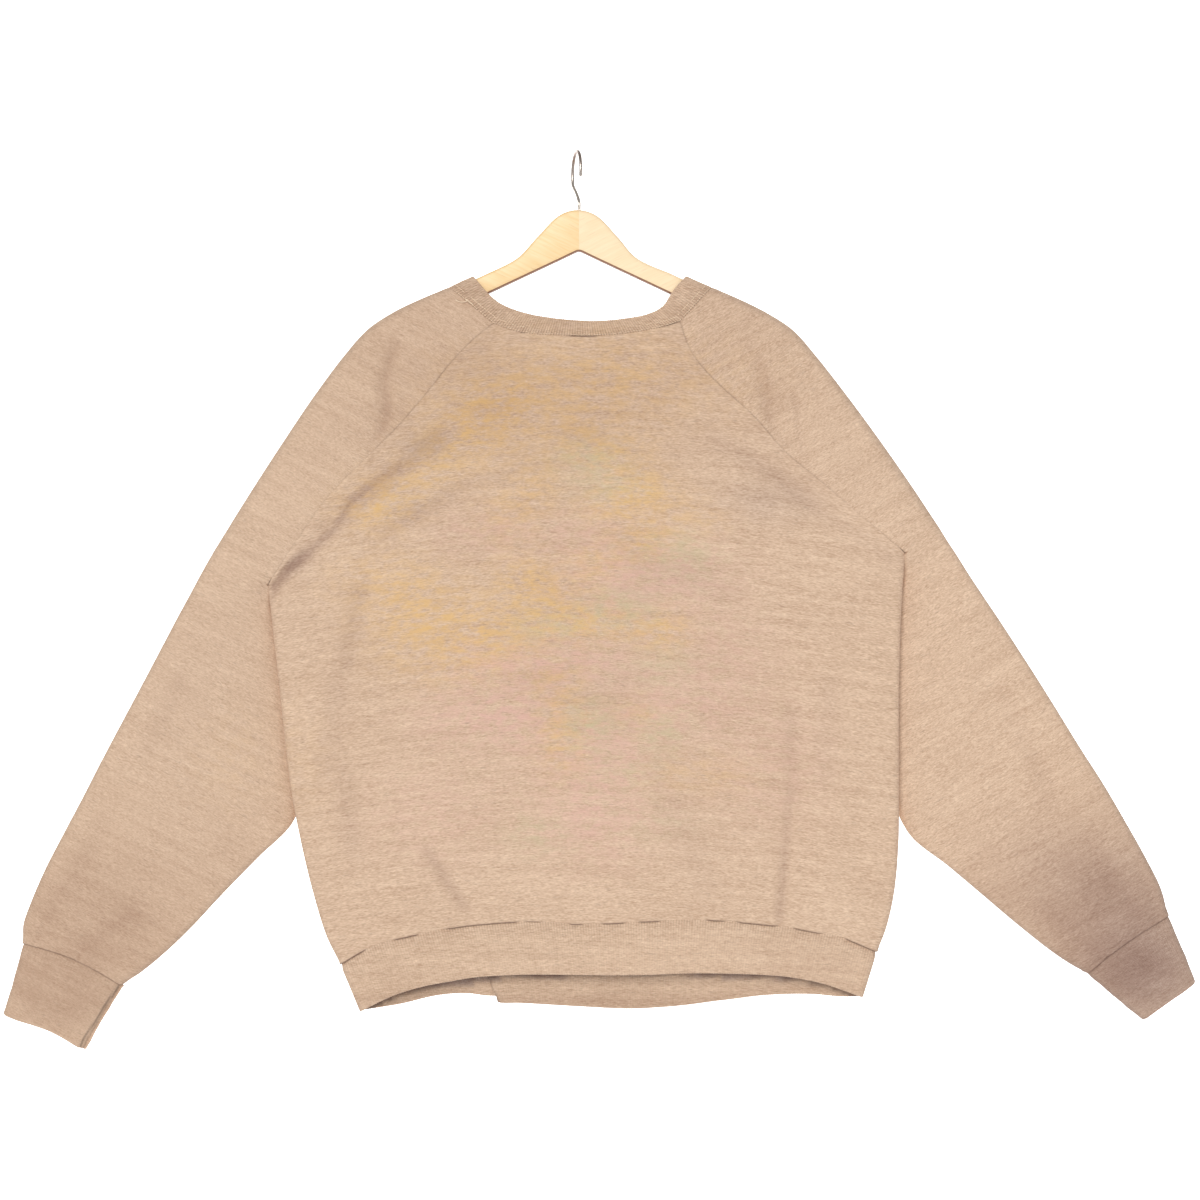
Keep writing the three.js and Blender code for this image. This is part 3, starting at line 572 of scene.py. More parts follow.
class Line:
    """A smooth line through the points of a table."""

    def __init__(self, rows, x="x", z="z"):
        self.points = np.column_stack([column(rows, x), np.zeros(len(rows)), column(rows, z)])
        self.shares = np.linspace(0, 1, 401)
        self.travelled = travelled_along(self.at(self.shares))
        self.length = self.travelled[-1]

    def at(self, t):
        t = np.asarray(t, float)
        spans = len(self.points) - 1
        place = np.clip(t, 0, 1) * spans
        i = np.minimum(place.astype(int), spans - 1)
        w = (place - i)[..., None]
        padded = np.vstack([
            2 * self.points[0] - self.points[1], self.points, 2 * self.points[-1] - self.points[-2],
        ])
        p0, p1, p2, p3 = (padded[i + k] for k in range(4))
        d0, d1, d2 = (
            np.sqrt(np.linalg.norm(b - a, axis=-1, keepdims=True)) for a, b in ((p0, p1), (p1, p2), (p2, p3))
        )
        leaving = ((p1 - p0) / d0 - (p2 - p0) / (d0 + d1) + (p2 - p1) / d1) * d1
        arriving = ((p2 - p1) / d1 - (p3 - p1) / (d1 + d2) + (p3 - p2) / d2) * d1
        squared = -3 * p1 + 3 * p2 - 2 * leaving - arriving
        cubed = 2 * p1 - 2 * p2 + leaving + arriving
        return p1 + leaving * w + squared * w**2 + cubed * w**3

    def along(self, share):
        return self.at(np.interp(np.asarray(share) * self.length, self.travelled, self.shares))

    def even_steps(self, count):
        return np.interp(np.linspace(0, self.length, count + 1), self.travelled, self.shares)


def value_at(rows, name, t):
    values = column(rows, name)
    return np.interp(t, np.linspace(0, 1, len(values)), values)


def smoothstep(value, low, high):
    share = np.clip((value - low) / (high - low), 0, 1)
    return share * share * (3 - 2 * share)


def length_of(vectors):
    return np.linalg.norm(vectors, axis=-1)


def unit(vectors):
    return vectors / np.maximum(length_of(vectors)[..., None], 1e-9)


def travelled_along(points):
    """Distance along a line of points, from its first one."""
    return np.concatenate([[0], np.cumsum(length_of(np.diff(points, axis=0)))])


def bell(distance, reach):
    """1 at no distance, falling off smoothly on both sides."""
    return np.exp(-((distance / reach) ** 2))


LINES = {
    side: SimpleNamespace(
        shoulder=Line(RAGLAN[side], "outer_x", "outer_z"),
        seam=Line(RAGLAN[side], "seam_x", "seam_z"),
        outer=Line(SLEEVE[side], "outer_x", "outer_z"),
        inner=Line(SLEEVE[side], "inner_x", "inner_z"),
        body=Line(SIDES, f"{side}_x", f"{side}_z"),
    )
    for side in SIGN
}

# Grid steps: close together beside a seam, and even elsewhere
SEAM_STEPS = np.array([0.0025, 0.006, 0.011, 0.018])
FOLD_ANGLES = np.radians([0, 13, 26, 39, 52, 64, 76, 90])
BODY_COLUMNS = 140
SLEEVE_MIDDLE_COLUMNS = 40
RAGLAN_STEPS = np.concatenate([[0], SEAM_STEPS, LINES["left"].seam.even_steps(78)[2:]])
SIDE_STEPS = np.concatenate([LINES["left"].body.even_steps(92)[1:-1], 1 - SEAM_STEPS[::-1], [1]])
BAND_STEPS = np.array([0, 0.02, 0.05, 0.09, 0.15, 0.25, 0.37, 0.5, 0.63, 0.76, 0.88, 0.95, 1])
COLUMNS_PER_RIB = 6
# Painted shade in the rib valleys, strongest beside the band's seam
RIB_VALLEY_SHADE = SimpleNamespace(sewn=1.5, away=0.3, reach=10)  # ribs show most beside their seam
ROLLED_EDGE = np.radians([30, 60, 90, 120, 150])


def raglan_seam(side, face, t):
    points = LINES[side].seam.at(t)
    if face == FRONT:
        fade = (1 - np.asarray(t)) ** FRONT_SEAM_DROP.fade
        points[..., 0] -= SIGN[side] * FRONT_SEAM_DROP.x * fade
        points[..., 2] += FRONT_SEAM_DROP.z * fade
    return points


def rise(distance, fold, fullness):
    """Half depth of the flat-hung cloth at a distance from its folded edge."""
    around = np.minimum(distance / fold.run, 1)
    swell = np.minimum(distance / fold.swell, 1)
    edge = fold.depth * np.sqrt(np.maximum(1 - (1 - around) ** 2, 0))
    return edge + (fullness - fold.depth) * np.sin(swell * np.pi / 2)


def troughs(rows, x, z):
    total = np.zeros_like(x)
    for f in rows:
        length = math.hypot(f.x2 - f.x1, f.z2 - f.z1)
        along = ((x - f.x1) * (f.x2 - f.x1) + (z - f.z1) * (f.z2 - f.z1)) / length
        across = ((x - f.x1) * (f.z2 - f.z1) - (z - f.z1) * (f.x2 - f.x1)) / length
        beyond = np.maximum(0, np.maximum(-along, along - length))
        total += f.depth * np.exp(-((across / f.width) ** 2) - (beyond / (1.5 * f.width)) ** 2)
    return total


def creased(rows, x, z):
    """The deepest crease at each point, and the highest ridge."""
    each = np.array([troughs([row], x, z) for row in rows])
    return np.maximum(each.max(axis=0), 0) + np.minimum(each.min(axis=0), 0)


def cloth_depth(x, z, face, fullness, first, second):
    share = (first / fullness) * (second / fullness)
    return share * (fullness - FOLD_SHARE * np.minimum(share, 1) * troughs(FOLDS[face], x, z))


def places_across(width, first_run, last_run, middle_columns):
    """Shares of a row's width, closer together where its edges fold round."""
    first = first_run * (1 - np.cos(FOLD_ANGLES))
    last = (width - last_run * (1 - np.cos(FOLD_ANGLES)))[::-1]
    inside = np.arange(1, middle_columns) / middle_columns
    middle = first_run + (width - last_run - first_run) * inside
    return np.concatenate([first, middle, last]) / width


def body_sheet(face):
    """Rows of outer points, from the neck to the hem. Columns run right on the back and left on the front."""
    underarm = len(RAGLAN_STEPS) - 1
    left, right = (
        np.vstack([raglan_seam(side, face, RAGLAN_STEPS), LINES[side].body.at(SIDE_STEPS)])
        for side in ("left", "right")
    )
    at_raglan = np.full(len(RAGLAN_STEPS), SEAM_GAP / 2)
    inset = np.concatenate([at_raglan, np.zeros(len(SIDE_STEPS))])[:, None]
    fullness = np.concatenate([
        value_at(RAGLAN["left"], "fullness", RAGLAN_STEPS), value_at(SIDES, "fullness", SIDE_STEPS),
    ])[:, None]
    row_number = np.arange(len(left))
    least = np.where(row_number >= underarm, SEAM_GAP / 2, 0)[:, None]
    steps = length_of(np.diff(left, axis=0)) + length_of(np.diff(right, axis=0))
    down = np.concatenate([[0], np.cumsum(steps)]) / np.sum(steps)
    beyond = [
        np.where(row_number < underarm, length_of(edge - edge[underarm]), 0)[:, None]
        for edge in (left, right)
    ]
    start = left + inset * np.array([1, 0, -1])
    end = right - inset * np.array([1, 0, 1])
    width = length_of(end - start)[:, None]
    share = np.array([places_across(w, SIDE_FOLD.run, SIDE_FOLD.run, BODY_COLUMNS) for w in width[:, 0]])
    u = share[..., None]
    points = start[:, None] + (end - start)[:, None] * u
    top = Line(NECK_SEAM[face]).along(share) - (left[0] + (right[0] - left[0]) * u)
    bottom = Line(HEM_SEAM[face]).along(share) - (left[-1] + (right[-1] - left[-1]) * u)
    points += top * ((1 - down) ** 2)[:, None, None] + bottom * (down**2)[:, None, None]
    from_left = rise(share * width + beyond[0], SIDE_FOLD, fullness)
    from_right = rise((1 - share) * width + beyond[1], SIDE_FOLD, fullness)
    depth = cloth_depth(points[..., 0], points[..., 2], face, fullness, from_left, from_right)
    points[..., 1] = face * np.maximum(depth, least)
    return points[:, ::-1] if face == FRONT else points


def sleeve_sheet(side):
    """Rows of outer points from the collar to the cuff. From the underarm down, each row is a ring."""
    lines = LINES[side]
    lower = lines.outer.even_steps(104)[1:-1]
    lower = np.concatenate([lower, 1 - SEAM_STEPS[::-1], [1]])
    open_rows = len(RAGLAN_STEPS) - 1
    apart = np.full((len(RAGLAN_STEPS), 1), SEAM_GAP / 2) * np.array([SIGN[side], 0, 1])
    outer = np.vstack([lines.shoulder.at(RAGLAN_STEPS), lines.outer.at(lower)])
    fade = np.concatenate([np.zeros(len(RAGLAN_STEPS)), np.minimum(lower * SLEEVE_FOLD_FADE, 1)])
    fold = SimpleNamespace(**{
        key: (value + (getattr(SLEEVE_FOLD, key) - value) * fade)[:, None]
        for key, value in vars(SHOULDER_FOLD).items()
    })
    nothing = np.zeros(len(RAGLAN_STEPS))
    fullness = np.concatenate([
        value_at(RAGLAN[side], "fullness", RAGLAN_STEPS), value_at(SLEEVE[side], "fullness", lower),
    ])[:, None]
    outer_back, inner_back, bow = (
        np.concatenate([nothing, value_at(SLEEVE[side], name, lower)])[:, None]
        for name in ("outer_back", "inner_back", "bow")
    )
    halves = {}
    lowered = np.concatenate([nothing - 1e3, lines.inner.at(0)[2] - lines.inner.at(lower)[:, 2]])[:, None]
    for face in (BACK, FRONT):
        inner = np.vstack([raglan_seam(side, face, RAGLAN_STEPS) + apart, lines.inner.at(lower)])
        width = length_of(inner - outer)[:, None]
        beyond = length_of(inner - lines.inner.at(0))[:, None]
        beyond[open_rows:] = 0
        share = np.array([
            places_across(w, run, SIDE_FOLD.run, SLEEVE_MIDDLE_COLUMNS)
            for w, run in zip(width[:, 0], fold.run[:, 0])
        ])
        points = outer[:, None] + (inner - outer)[:, None] * share[..., None]
        points[..., 2] += bow * np.sin(np.pi * share)
        from_outer = rise(share * width, fold, fullness)
        from_inner = rise((1 - share) * width + beyond, SIDE_FOLD, fullness)
        depth = cloth_depth(points[..., 0], points[..., 2], face, fullness, from_outer, from_inner)
        points[..., 1] = face * depth + outer_back + (inner_back - outer_back) * share
        tucked = TUCK.depth * bell(lowered - TUCK.below, TUCK.reach)
        points[..., 0] -= SIGN[side] * tucked * share**3
        halves[face] = points
    first, second = (FRONT, BACK) if side == "left" else (BACK, FRONT)
    return np.concatenate([halves[first][:, ::-1], halves[second][:, 1:]], axis=1)


# Bands

def ring_of(edges):
    """One closed line from the sewn edges of several sheets, each from its left end to its right one."""
    ring = []
    for point in np.vstack(edges):
        if ring and np.linalg.norm(ring[-1] - point) < 1:
            ring[-1] = (ring[-1] + point) / 2
        else:
            ring.append(point)
    if np.linalg.norm(ring[0] - ring[-1]) < 1:
        ring[0] = (ring[0] + ring.pop()) / 2
    return np.array(ring)


def even_ring(ring, count):
    """The ring again, with that many even steps, and starting at its left end."""
    ring = np.roll(ring, -int(np.argmin(ring[:, 0])), axis=0)
    closed = np.vstack([ring, ring[:1]])
    travelled = travelled_along(closed)
    places = np.linspace(0, travelled[-1], count, endpoint=False)
    return np.column_stack([np.interp(places, travelled, closed[:, k]) for k in range(3)])


def ring_length(ring):
    return float(np.sum(length_of(ring - np.roll(ring, 1, axis=0))))


def halves_of(ring):
    """The back of a ring and its front, both from left to right."""
    end = int(np.argmax(ring[:, 0]))
    return ring[:end + 1], np.vstack([ring[end:], ring[:1]])[::-1]


def shares_along(points):
    travelled = travelled_along(points * np.array([1, 0, 1]))
    return travelled / travelled[-1]


def free_edge(ring, edges, depth_of):
    """The free edge's point for each point of the sewn ring."""
    halves = []
    for face, seam in zip((BACK, FRONT), halves_of(ring)):
        line = Line(edges[face])
        share = shares_along(seam)
        points = line.along(share)
        points[:, 1] = depth_of(face, seam, share, line.length)
        halves.append(points)
    return np.vstack([halves[0], halves[1][::-1][1:-1]])


def collar_depth(face, seam, share, length):
    from_shoulder = np.minimum(share, 1 - share) * length
    lean = smoothstep(from_shoulder - COLLAR_LEAN.start, 0, COLLAR_LEAN.over)
    full = COLLAR_LEAN.shoulder + (COLLAR_LEAN.middle - COLLAR_LEAN.shoulder) * lean
    fold = SimpleNamespace(depth=full, run=SHOULDER_FOLD.run, swell=SHOULDER_FOLD.swell)
    return face * rise(from_shoulder, fold, full)


def hem_depth(face, seam, share, length):
    return seam[:, 1]


def straight_band(seam, edge, bulge, wall):
    """Rows of outer points from the sewn edge to the free edge, which keeps room for its rolled edge."""
    run = edge - seam
    length = length_of(run)[:, None]
    rows = []
    for t in BAND_STEPS:
        share = SEAM_GAP / length + (1 - (SEAM_GAP + wall / 2) / length) * t
        points = seam + run * share
        points[:, 1] += np.sign(points[:, 1]) * bulge * np.sin(np.pi * t)
        rows.append(points)
    return np.array(rows)


def cuff_rows(side, ring, wall):
    """Rows of a cuff, each point on a bend through the table's three stations."""
    seam, middle, end = CUFF[side]
    outer = np.array([seam.outer_x, seam.outer_z])
    across = np.array([seam.inner_x, seam.inner_z]) - outer
    share = (ring[:, [0, 2]] - outer) @ across / (across @ across)
    last = SLEEVE[side][-1]
    depth = ring[:, 1] - last.outer_back
    lift = last.bow * np.sin(np.pi * np.clip(share, 0, 1))

    def place(station, bow):
        return np.column_stack([
            station.outer_x + (station.inner_x - station.outer_x) * share,
            depth * station.fullness / seam.fullness,
            station.outer_z + (station.inner_z - station.outer_z) * share + bow,
        ])

    first = np.column_stack([ring[:, 0], depth, ring[:, 2]])
    final = place(end, 0)
    curve = CUFF_HOLLOW[side] * np.sin(np.pi * np.clip(share, 0, 1) ** 1.2) ** 1.5
    final += curve[:, None] * unit(first - final)
    length = np.mean(length_of(final - first))
    rows = []
    for step in BAND_STEPS:
        t = (SEAM_GAP + (length - SEAM_GAP - wall / 2) * step) / length
        half = place(middle, 0.5 * lift * (1 - t))
        points = (1 - t) ** 2 * first + 2 * t * (1 - t) * half + t**2 * final
        points[:, 1] += last.outer_back
        rows.append(points)
    return np.array(rows)


# Cloth surface

def irregular(along, lengths, seed):
    """A wave of uneven length and height, from about -1 to 1."""
    phases = np.random.default_rng(seed).uniform(0, 2 * np.pi, len(lengths))
    waves = [np.sin(2 * np.pi * along / length + phase) for length, phase in zip(lengths, phases)]
    return sum(waves) / len(lengths)


def unevenness(x, z, seed):
    """Soft swells in every direction, from about -1 to 1."""
    rng = np.random.default_rng(seed)
    total = np.zeros_like(x)
    lengths = (62, 74, 91, 112, 138, 170, 205)
    for length in lengths:
        angle, phase = rng.uniform(0, 2 * np.pi, 2)
        way = (x * math.cos(angle) + z * math.sin(angle)) / length
        total += np.sin(2 * np.pi * way + phase + 1.3 * np.sin(way * 2.1 + phase))
    return total / math.sqrt(len(lengths))


def opened(x, bulges):
    """How far the cloth bulges at a seam, from a table of stretches."""
    total = np.zeros_like(x)
    for b in bulges:
        ease = min(6.0, (b.x2 - b.x1) / 3)
        rising = smoothstep(x, b.x1 - ease / 2, b.x1 + ease)
        window = rising * (1 - smoothstep(x, b.x2 - ease, b.x2 + ease / 2))
        total = np.maximum(total, b.depth * window)
    return total


def pinched(x, distance, pinches):
    """How far the cloth is drawn in beside a seam, from a table of places."""
    total = np.zeros_like(x)
    for p in pinches:
        width = 2.6 + 0.10 * distance
        total += p.depth * np.exp(-(((x - p.x) / width) ** 2) - distance / (0.5 * p.reach))
    return total


def by_face(on_back, tables, work):
    """The work done with the back's table where the cloth faces back, and with the front's elsewhere."""
    return np.where(on_back, work(tables[BACK]), work(tables[FRONT]))


def distances_in(sheet):
    """Distance of each point from the sheet's first and last row, and from its first and last column."""
    down = np.cumsum(length_of(np.diff(sheet, axis=0, prepend=sheet[:1])), axis=0)
    over = np.cumsum(length_of(np.diff(sheet, axis=1, prepend=sheet[:, :1])), axis=1)
    return SimpleNamespace(top=down, bottom=down[-1] - down, first=over, last=over[:, -1:] - over)


def quads_of(index):
    return np.stack([index[:-1, :-1], index[1:, :-1], index[1:, 1:], index[:-1, 1:]], axis=-1).reshape(-1, 4)


def normals_of(points, quads):
    a, b, c, d = (points[quads[:, k]] for k in range(4))
    across = np.cross(c - a, d - b)
    normals = np.zeros_like(points)
    for k in range(4):
        np.add.at(normals, quads[:, k], across)
    return unit(normals)


def tint_layers(points):
    """Strength of each tint at each point, for the cloth's colour, and of the darker and greyer patches,
    which are partly painted shade.
    """
    x, z = points[:, 0], points[:, 2]

    def patches(rows):
        total = np.zeros(len(points))
        for p in rows:
            total += p.strength * np.exp(-(((x - p.x) / p.across) ** 2) - ((z - p.z) / p.down) ** 2)
        return np.clip(total, 0, 1)

    seen = 1 - 0.75 * smoothstep(points[:, 1], 0, 4)
    tints = {
        tint.name: seen * patches([stain for stain in STAINS if stain.tint == tint.name]) for tint in TINTS
    }
    return {**tints, "shade": patches(SHADES), "cool": patches(COOL)}


def mesh_object(name, points, faces, layers, materials, inside_from=None, inside_to=None):
    """A mesh in the row's frame, smooth but for its sharp edges."""
    used = np.unique(np.concatenate([np.ravel(f) for f in faces]))
    number = np.full(len(points), -1)
    number[used] = np.arange(len(used))
    places = (points[used] + np.array([HOOK_OFFSET, 0, 0])) * MM
    mesh = bpy.data.meshes.new(name)
    mesh.from_pydata(places.tolist(), [], [number[face].tolist() for group in faces for face in group])
    for key, values in layers.items():
        mesh.attributes.new(key, "FLOAT", "POINT").data.foreach_set("value", values[used].astype(np.float32))
    for material in materials:
        mesh.materials.append(material)
    if inside_from is not None:
        which = np.zeros(len(mesh.polygons), np.int32)
        which[inside_from:inside_to] = 1
        mesh.polygons.foreach_set("material_index", which)
    mesh.polygons.foreach_set("use_smooth", np.ones(len(mesh.polygons), bool))
    mesh.set_sharp_from_angle(angle=math.radians(58))
    mesh.validate()
    piece = bpy.data.objects.new(name, mesh)
    bpy.context.scene.collection.objects.link(piece)
    return piece


def shell_object(name, sheet, closed_from, offset, seam, crease, wall, materials, greying=1.0):
    """A sheet as a thin wall: its surface moved out by the offset, its inside plain."""
    rows, columns = sheet.shape[:2]
    index = np.arange(rows * columns).reshape(rows, columns)
    index[closed_from:, -1] = index[closed_from:, 0]
    quads = quads_of(index)
    base = sheet.reshape(-1, 3)
    normals = normals_of(base, quads)
    outer = base + normals * offset.reshape(-1, 1)
    inner = base + normals * (np.minimum(offset.reshape(-1, 1), 0) - wall)
    count = len(base)
    edges = np.concatenate([quads[:, [k, (k + 1) % 4]] for k in range(4)])
    forward = edges[:, 0] * count + edges[:, 1]
    backward = edges[:, 1] * count + edges[:, 0]
    rim = edges[~np.isin(backward, forward)]
    rim_faces = np.column_stack([rim[:, 1], rim[:, 0], rim[:, 0] + count, rim[:, 1] + count])
    layers = tint_layers(base)
    # Painted shade: the cloth is darker and greyer in its creases, by their depth
    layers["shade"] = np.clip(layers["shade"] + CREASE_SHADE * np.maximum(crease.ravel(), 0), 0, 1)
    layers["cool"] = np.clip(layers["cool"] + greying * CREASE_COOL * np.maximum(crease.ravel(), 0), 0, 1)
    layers["seam"] = seam.ravel()
    layers = {key: np.tile(values, 2) for key, values in layers.items()}
    layers["seam"][count:] = 0
    faces = [quads, quads[:, ::-1] + count, rim_faces]
    return mesh_object(
        name, np.vstack([outer, inner]), faces, layers, materials, len(quads), 2 * len(quads),
    )


def rolled(distance, cloth):
    """The cloth rolls in at a seam, with a low welt beside it."""
    depth, reach = cloth.seam_depth / MM, cloth.seam_roll / MM
    return -depth * bell(distance, reach) + 0.2 * bell(distance - 4.5, 2.2)


def seam_line(x, z):
    """How dark the painted shade in a raglan seam or side is: uneven, and lost where the cloth is smooth."""
    uneven = 0.5 + 0.5 * irregular(z + 0.3 * x, (23, 41, 67), 8)
    smooth = np.exp(-(((x - 290) / 50) ** 2) - ((z + 375) / 50) ** 2)
    lost = smoothstep(-z, 285, 330) * (x < 0)
    return np.clip(0.5 * (0.2 + 0.8 * uneven) * (1 - 0.92 * smooth) * (1 - 0.7 * lost), 0, 1)


def body_panel(name, face, cloth, materials):
    sheet = body_sheet(face)
    near = distances_in(sheet)
    x, z = sheet[..., 0], sheet[..., 2]
    to_side = np.minimum(near.first, near.last)
    calm = smoothstep(to_side, 4, 40) * smoothstep(near.top, 2, 20)
    over = opened(x, HEM_BULGES[face])
    collar_over = opened(x, COLLAR_BULGES[face])
    offset = rolled(to_side, cloth) + rolled(near.top, cloth) * (1 - 0.4 * collar_over)
    offset += over * bell(near.bottom, 5.5) - 0.2 * (1.1 - over) * bell(near.bottom, 2.4)
    sheet[..., 2] -= 1.3 * over * bell(near.bottom, 5)
    offset -= pinched(x, near.bottom, HEM_PINCHES[face])
    crease = smoothstep(to_side, 1, 11) * smoothstep(near.top, 2, 20) * creased(CREASES[face], x, z)
    offset -= crease
    offset += calm * cloth.unevenness / MM * unevenness(x, z, 11 + face)
    offset += 0.28 * irregular(x, (11, 17, 29), 5) * np.exp(-near.bottom / 14)
    offset += 0.18 * irregular(x, (7, 12, 19), 6) * np.exp(-near.top / 9)
    under_arm = np.arange(len(sheet))[:, None] >= len(RAGLAN_STEPS) - 1
    # Painted shade along the raglan seams and sides, under the fleece's bulges over the hem band, and at the
    # neck
    seam = seam_line(x, z) * bell(to_side, DARK_LINE.side) * np.where(under_arm, 0.1, 1)
    seam += smoothstep(over, 0.25, 0.85) * bell(near.bottom, DARK_LINE.hem)
    at_neck = bell(near.top, DARK_LINE.neck)
    seam += 0.85 * collar_over * at_neck + 0.1 * at_neck
    wall = cloth.fleece_wall / MM
    piece = shell_object(name, sheet, len(sheet), offset, np.clip(seam, 0, 1), crease, wall, materials)
    return piece, sheet


def sleeve_tube(side, cloth, materials):
    sheet = sleeve_sheet(side)
    closed_from = len(RAGLAN_STEPS) - 1
    near = distances_in(sheet)
    x, z = sheet[..., 0], sheet[..., 2]
    to_seam = np.minimum(near.first, near.last)
    around = near.first / (near.first + near.last)
    back_half = around > 0.5 if side == "left" else around < 0.5
    to_fold = np.abs(around - 0.5) * (near.first + near.last)
    calm = smoothstep(to_seam, 3, 30) * smoothstep(to_fold, 4, 34) * smoothstep(near.top, 2, 18)
    share = around * 2 - 1 if side == "left" else 1 - around * 2
    over = np.zeros_like(x)
    for low, high in CUFF_BULGES[side]:
        rising = smoothstep(share, low - 0.02, low + 0.04)
        over = np.maximum(over, rising * (1 - smoothstep(share, high - 0.05, high)))
    over = np.where(back_half, over, 0.7 + 0.3 * irregular(near.first, (18, 31), 4))
    roll = rolled(to_seam, cloth)
    roll[closed_from:] *= 0.35
    offset = roll + rolled(near.top, cloth)
    offset += 1.4 * over * bell(near.bottom, 6) - 0.4 * (1 - over) * bell(near.bottom, 2.4)
    below_arm = smoothstep(-z, 400, 424)
    inside_edges = smoothstep(to_seam, 1, 11 + 20 * below_arm) * smoothstep(to_fold, 4, 34)
    crease = by_face(back_half, CREASES, lambda rows: creased(rows, x, z))
    crease = inside_edges * smoothstep(near.top, 2, 18) * crease
    offset -= crease
    offset += calm * cloth.unevenness / MM * unevenness(x, z, 21 + SIGN[side])
    gathers = irregular(near.first, (9, 14, 23), 31 + SIGN[side])
    offset += 0.42 * gathers * np.exp(-near.bottom / 16) * smoothstep(to_fold, 2, 14)
    # Painted shade along the raglan seam, and under the fleece's bulges over the cuff
    seam = 0.7 * seam_line(x, z) * bell(to_seam, DARK_LINE.sleeve)
    seam[closed_from:] *= 0.3
    seam += (0.1 + 0.7 * over) * bell(near.bottom, DARK_LINE.cuff) + 0.08 * bell(near.top, DARK_LINE.neck)
    piece = shell_object(
        f"sleeve_{side}_cloth", sheet, closed_from, offset, np.clip(seam, 0, 1), crease,
        cloth.fleece_wall / MM, materials, 0.25,
    )
    return piece, sheet


def band_object(
    name, rows, cloth, shift, seam, upward, materials, shaded=None, inside=0, clear=1.0, relief=1.0,
):
    """Doubled rib: a wall with ribs on both sides and a rolled free edge, from its rows of outer points."""
    wall = cloth.rib_wall / MM
    count = rows.shape[1]
    index = np.arange(rows.shape[0] * count).reshape(rows.shape[0], count)
    index = np.column_stack([index, index[:, :1]])
    quads = quads_of(index)
    if upward:
        quads = quads[:, ::-1]
    normals = normals_of(rows.reshape(-1, 3), quads).reshape(rows.shape)
    rows = rows + normals * shift[..., None]
    phase = np.pi * np.arange(count) / COLUMNS_PER_RIB
    ridge = np.abs(np.sin(phase)) ** 0.8
    half = wall / 2 - relief * cloth.rib_depth / MM * (1 - ridge)[:, None]
    middle = rows - normals * wall / 2
    toward = unit(rows[-1] - rows[-2])
    edge = [middle[-1] + half * (normals[-1] * math.cos(a) + toward * math.sin(a)) for a in ROLLED_EDGE]
    section = np.concatenate([middle + normals * half, edge, (middle - normals * half)[::-1]])
    travelled = length_of(section - section[0])
    # How dark the painted shade in the rib valleys is: strongest beside the seam, and scaled by clear
    at_seam = RIB_VALLEY_SHADE.sewn - RIB_VALLEY_SHADE.away
    valley_shade = RIB_VALLEY_SHADE.away + at_seam * np.exp(-travelled / RIB_VALLEY_SHADE.reach)
    deep = (1 - ridge) * valley_shade * clear
    # Painted shade along the seam on the outer face, and the given painted shade on the inner face
    sewn = np.zeros(section.shape[:2])
    sewn[:len(rows)] = seam
    sewn[-len(rows):] = inside
    count_rows = len(section)
    index = np.arange(count_rows * count).reshape(count_rows, count)
    index = np.column_stack([index, index[:, :1]])
    index = np.vstack([index, index[:1]])
    faces = quads_of(index)
    if upward:
        faces = faces[:, ::-1]
    points = section.reshape(-1, 3)
    layers = tint_layers(points)
    dark = sewn.ravel()
    # Painted shadow and grey shade on the inward faces, under the near side's edge
    if shaded is not None:
        facing_in = np.zeros(section.shape[:2])
        facing_in[len(rows) + 2:] = 1
        under, grey = (values * facing_in.ravel() for values in shaded(points))
        dark = dark + under
        layers["cool"] = np.clip(layers["cool"] + grey, 0, 1)
        layers["shade"] = np.clip(layers["shade"] + 0.3 * grey, 0, 1)
    layers["seam"] = np.clip(dark, 0, 1)
    layers["valley"] = deep.ravel()
    return mesh_object(name, points, [faces], layers, materials)


# Materials

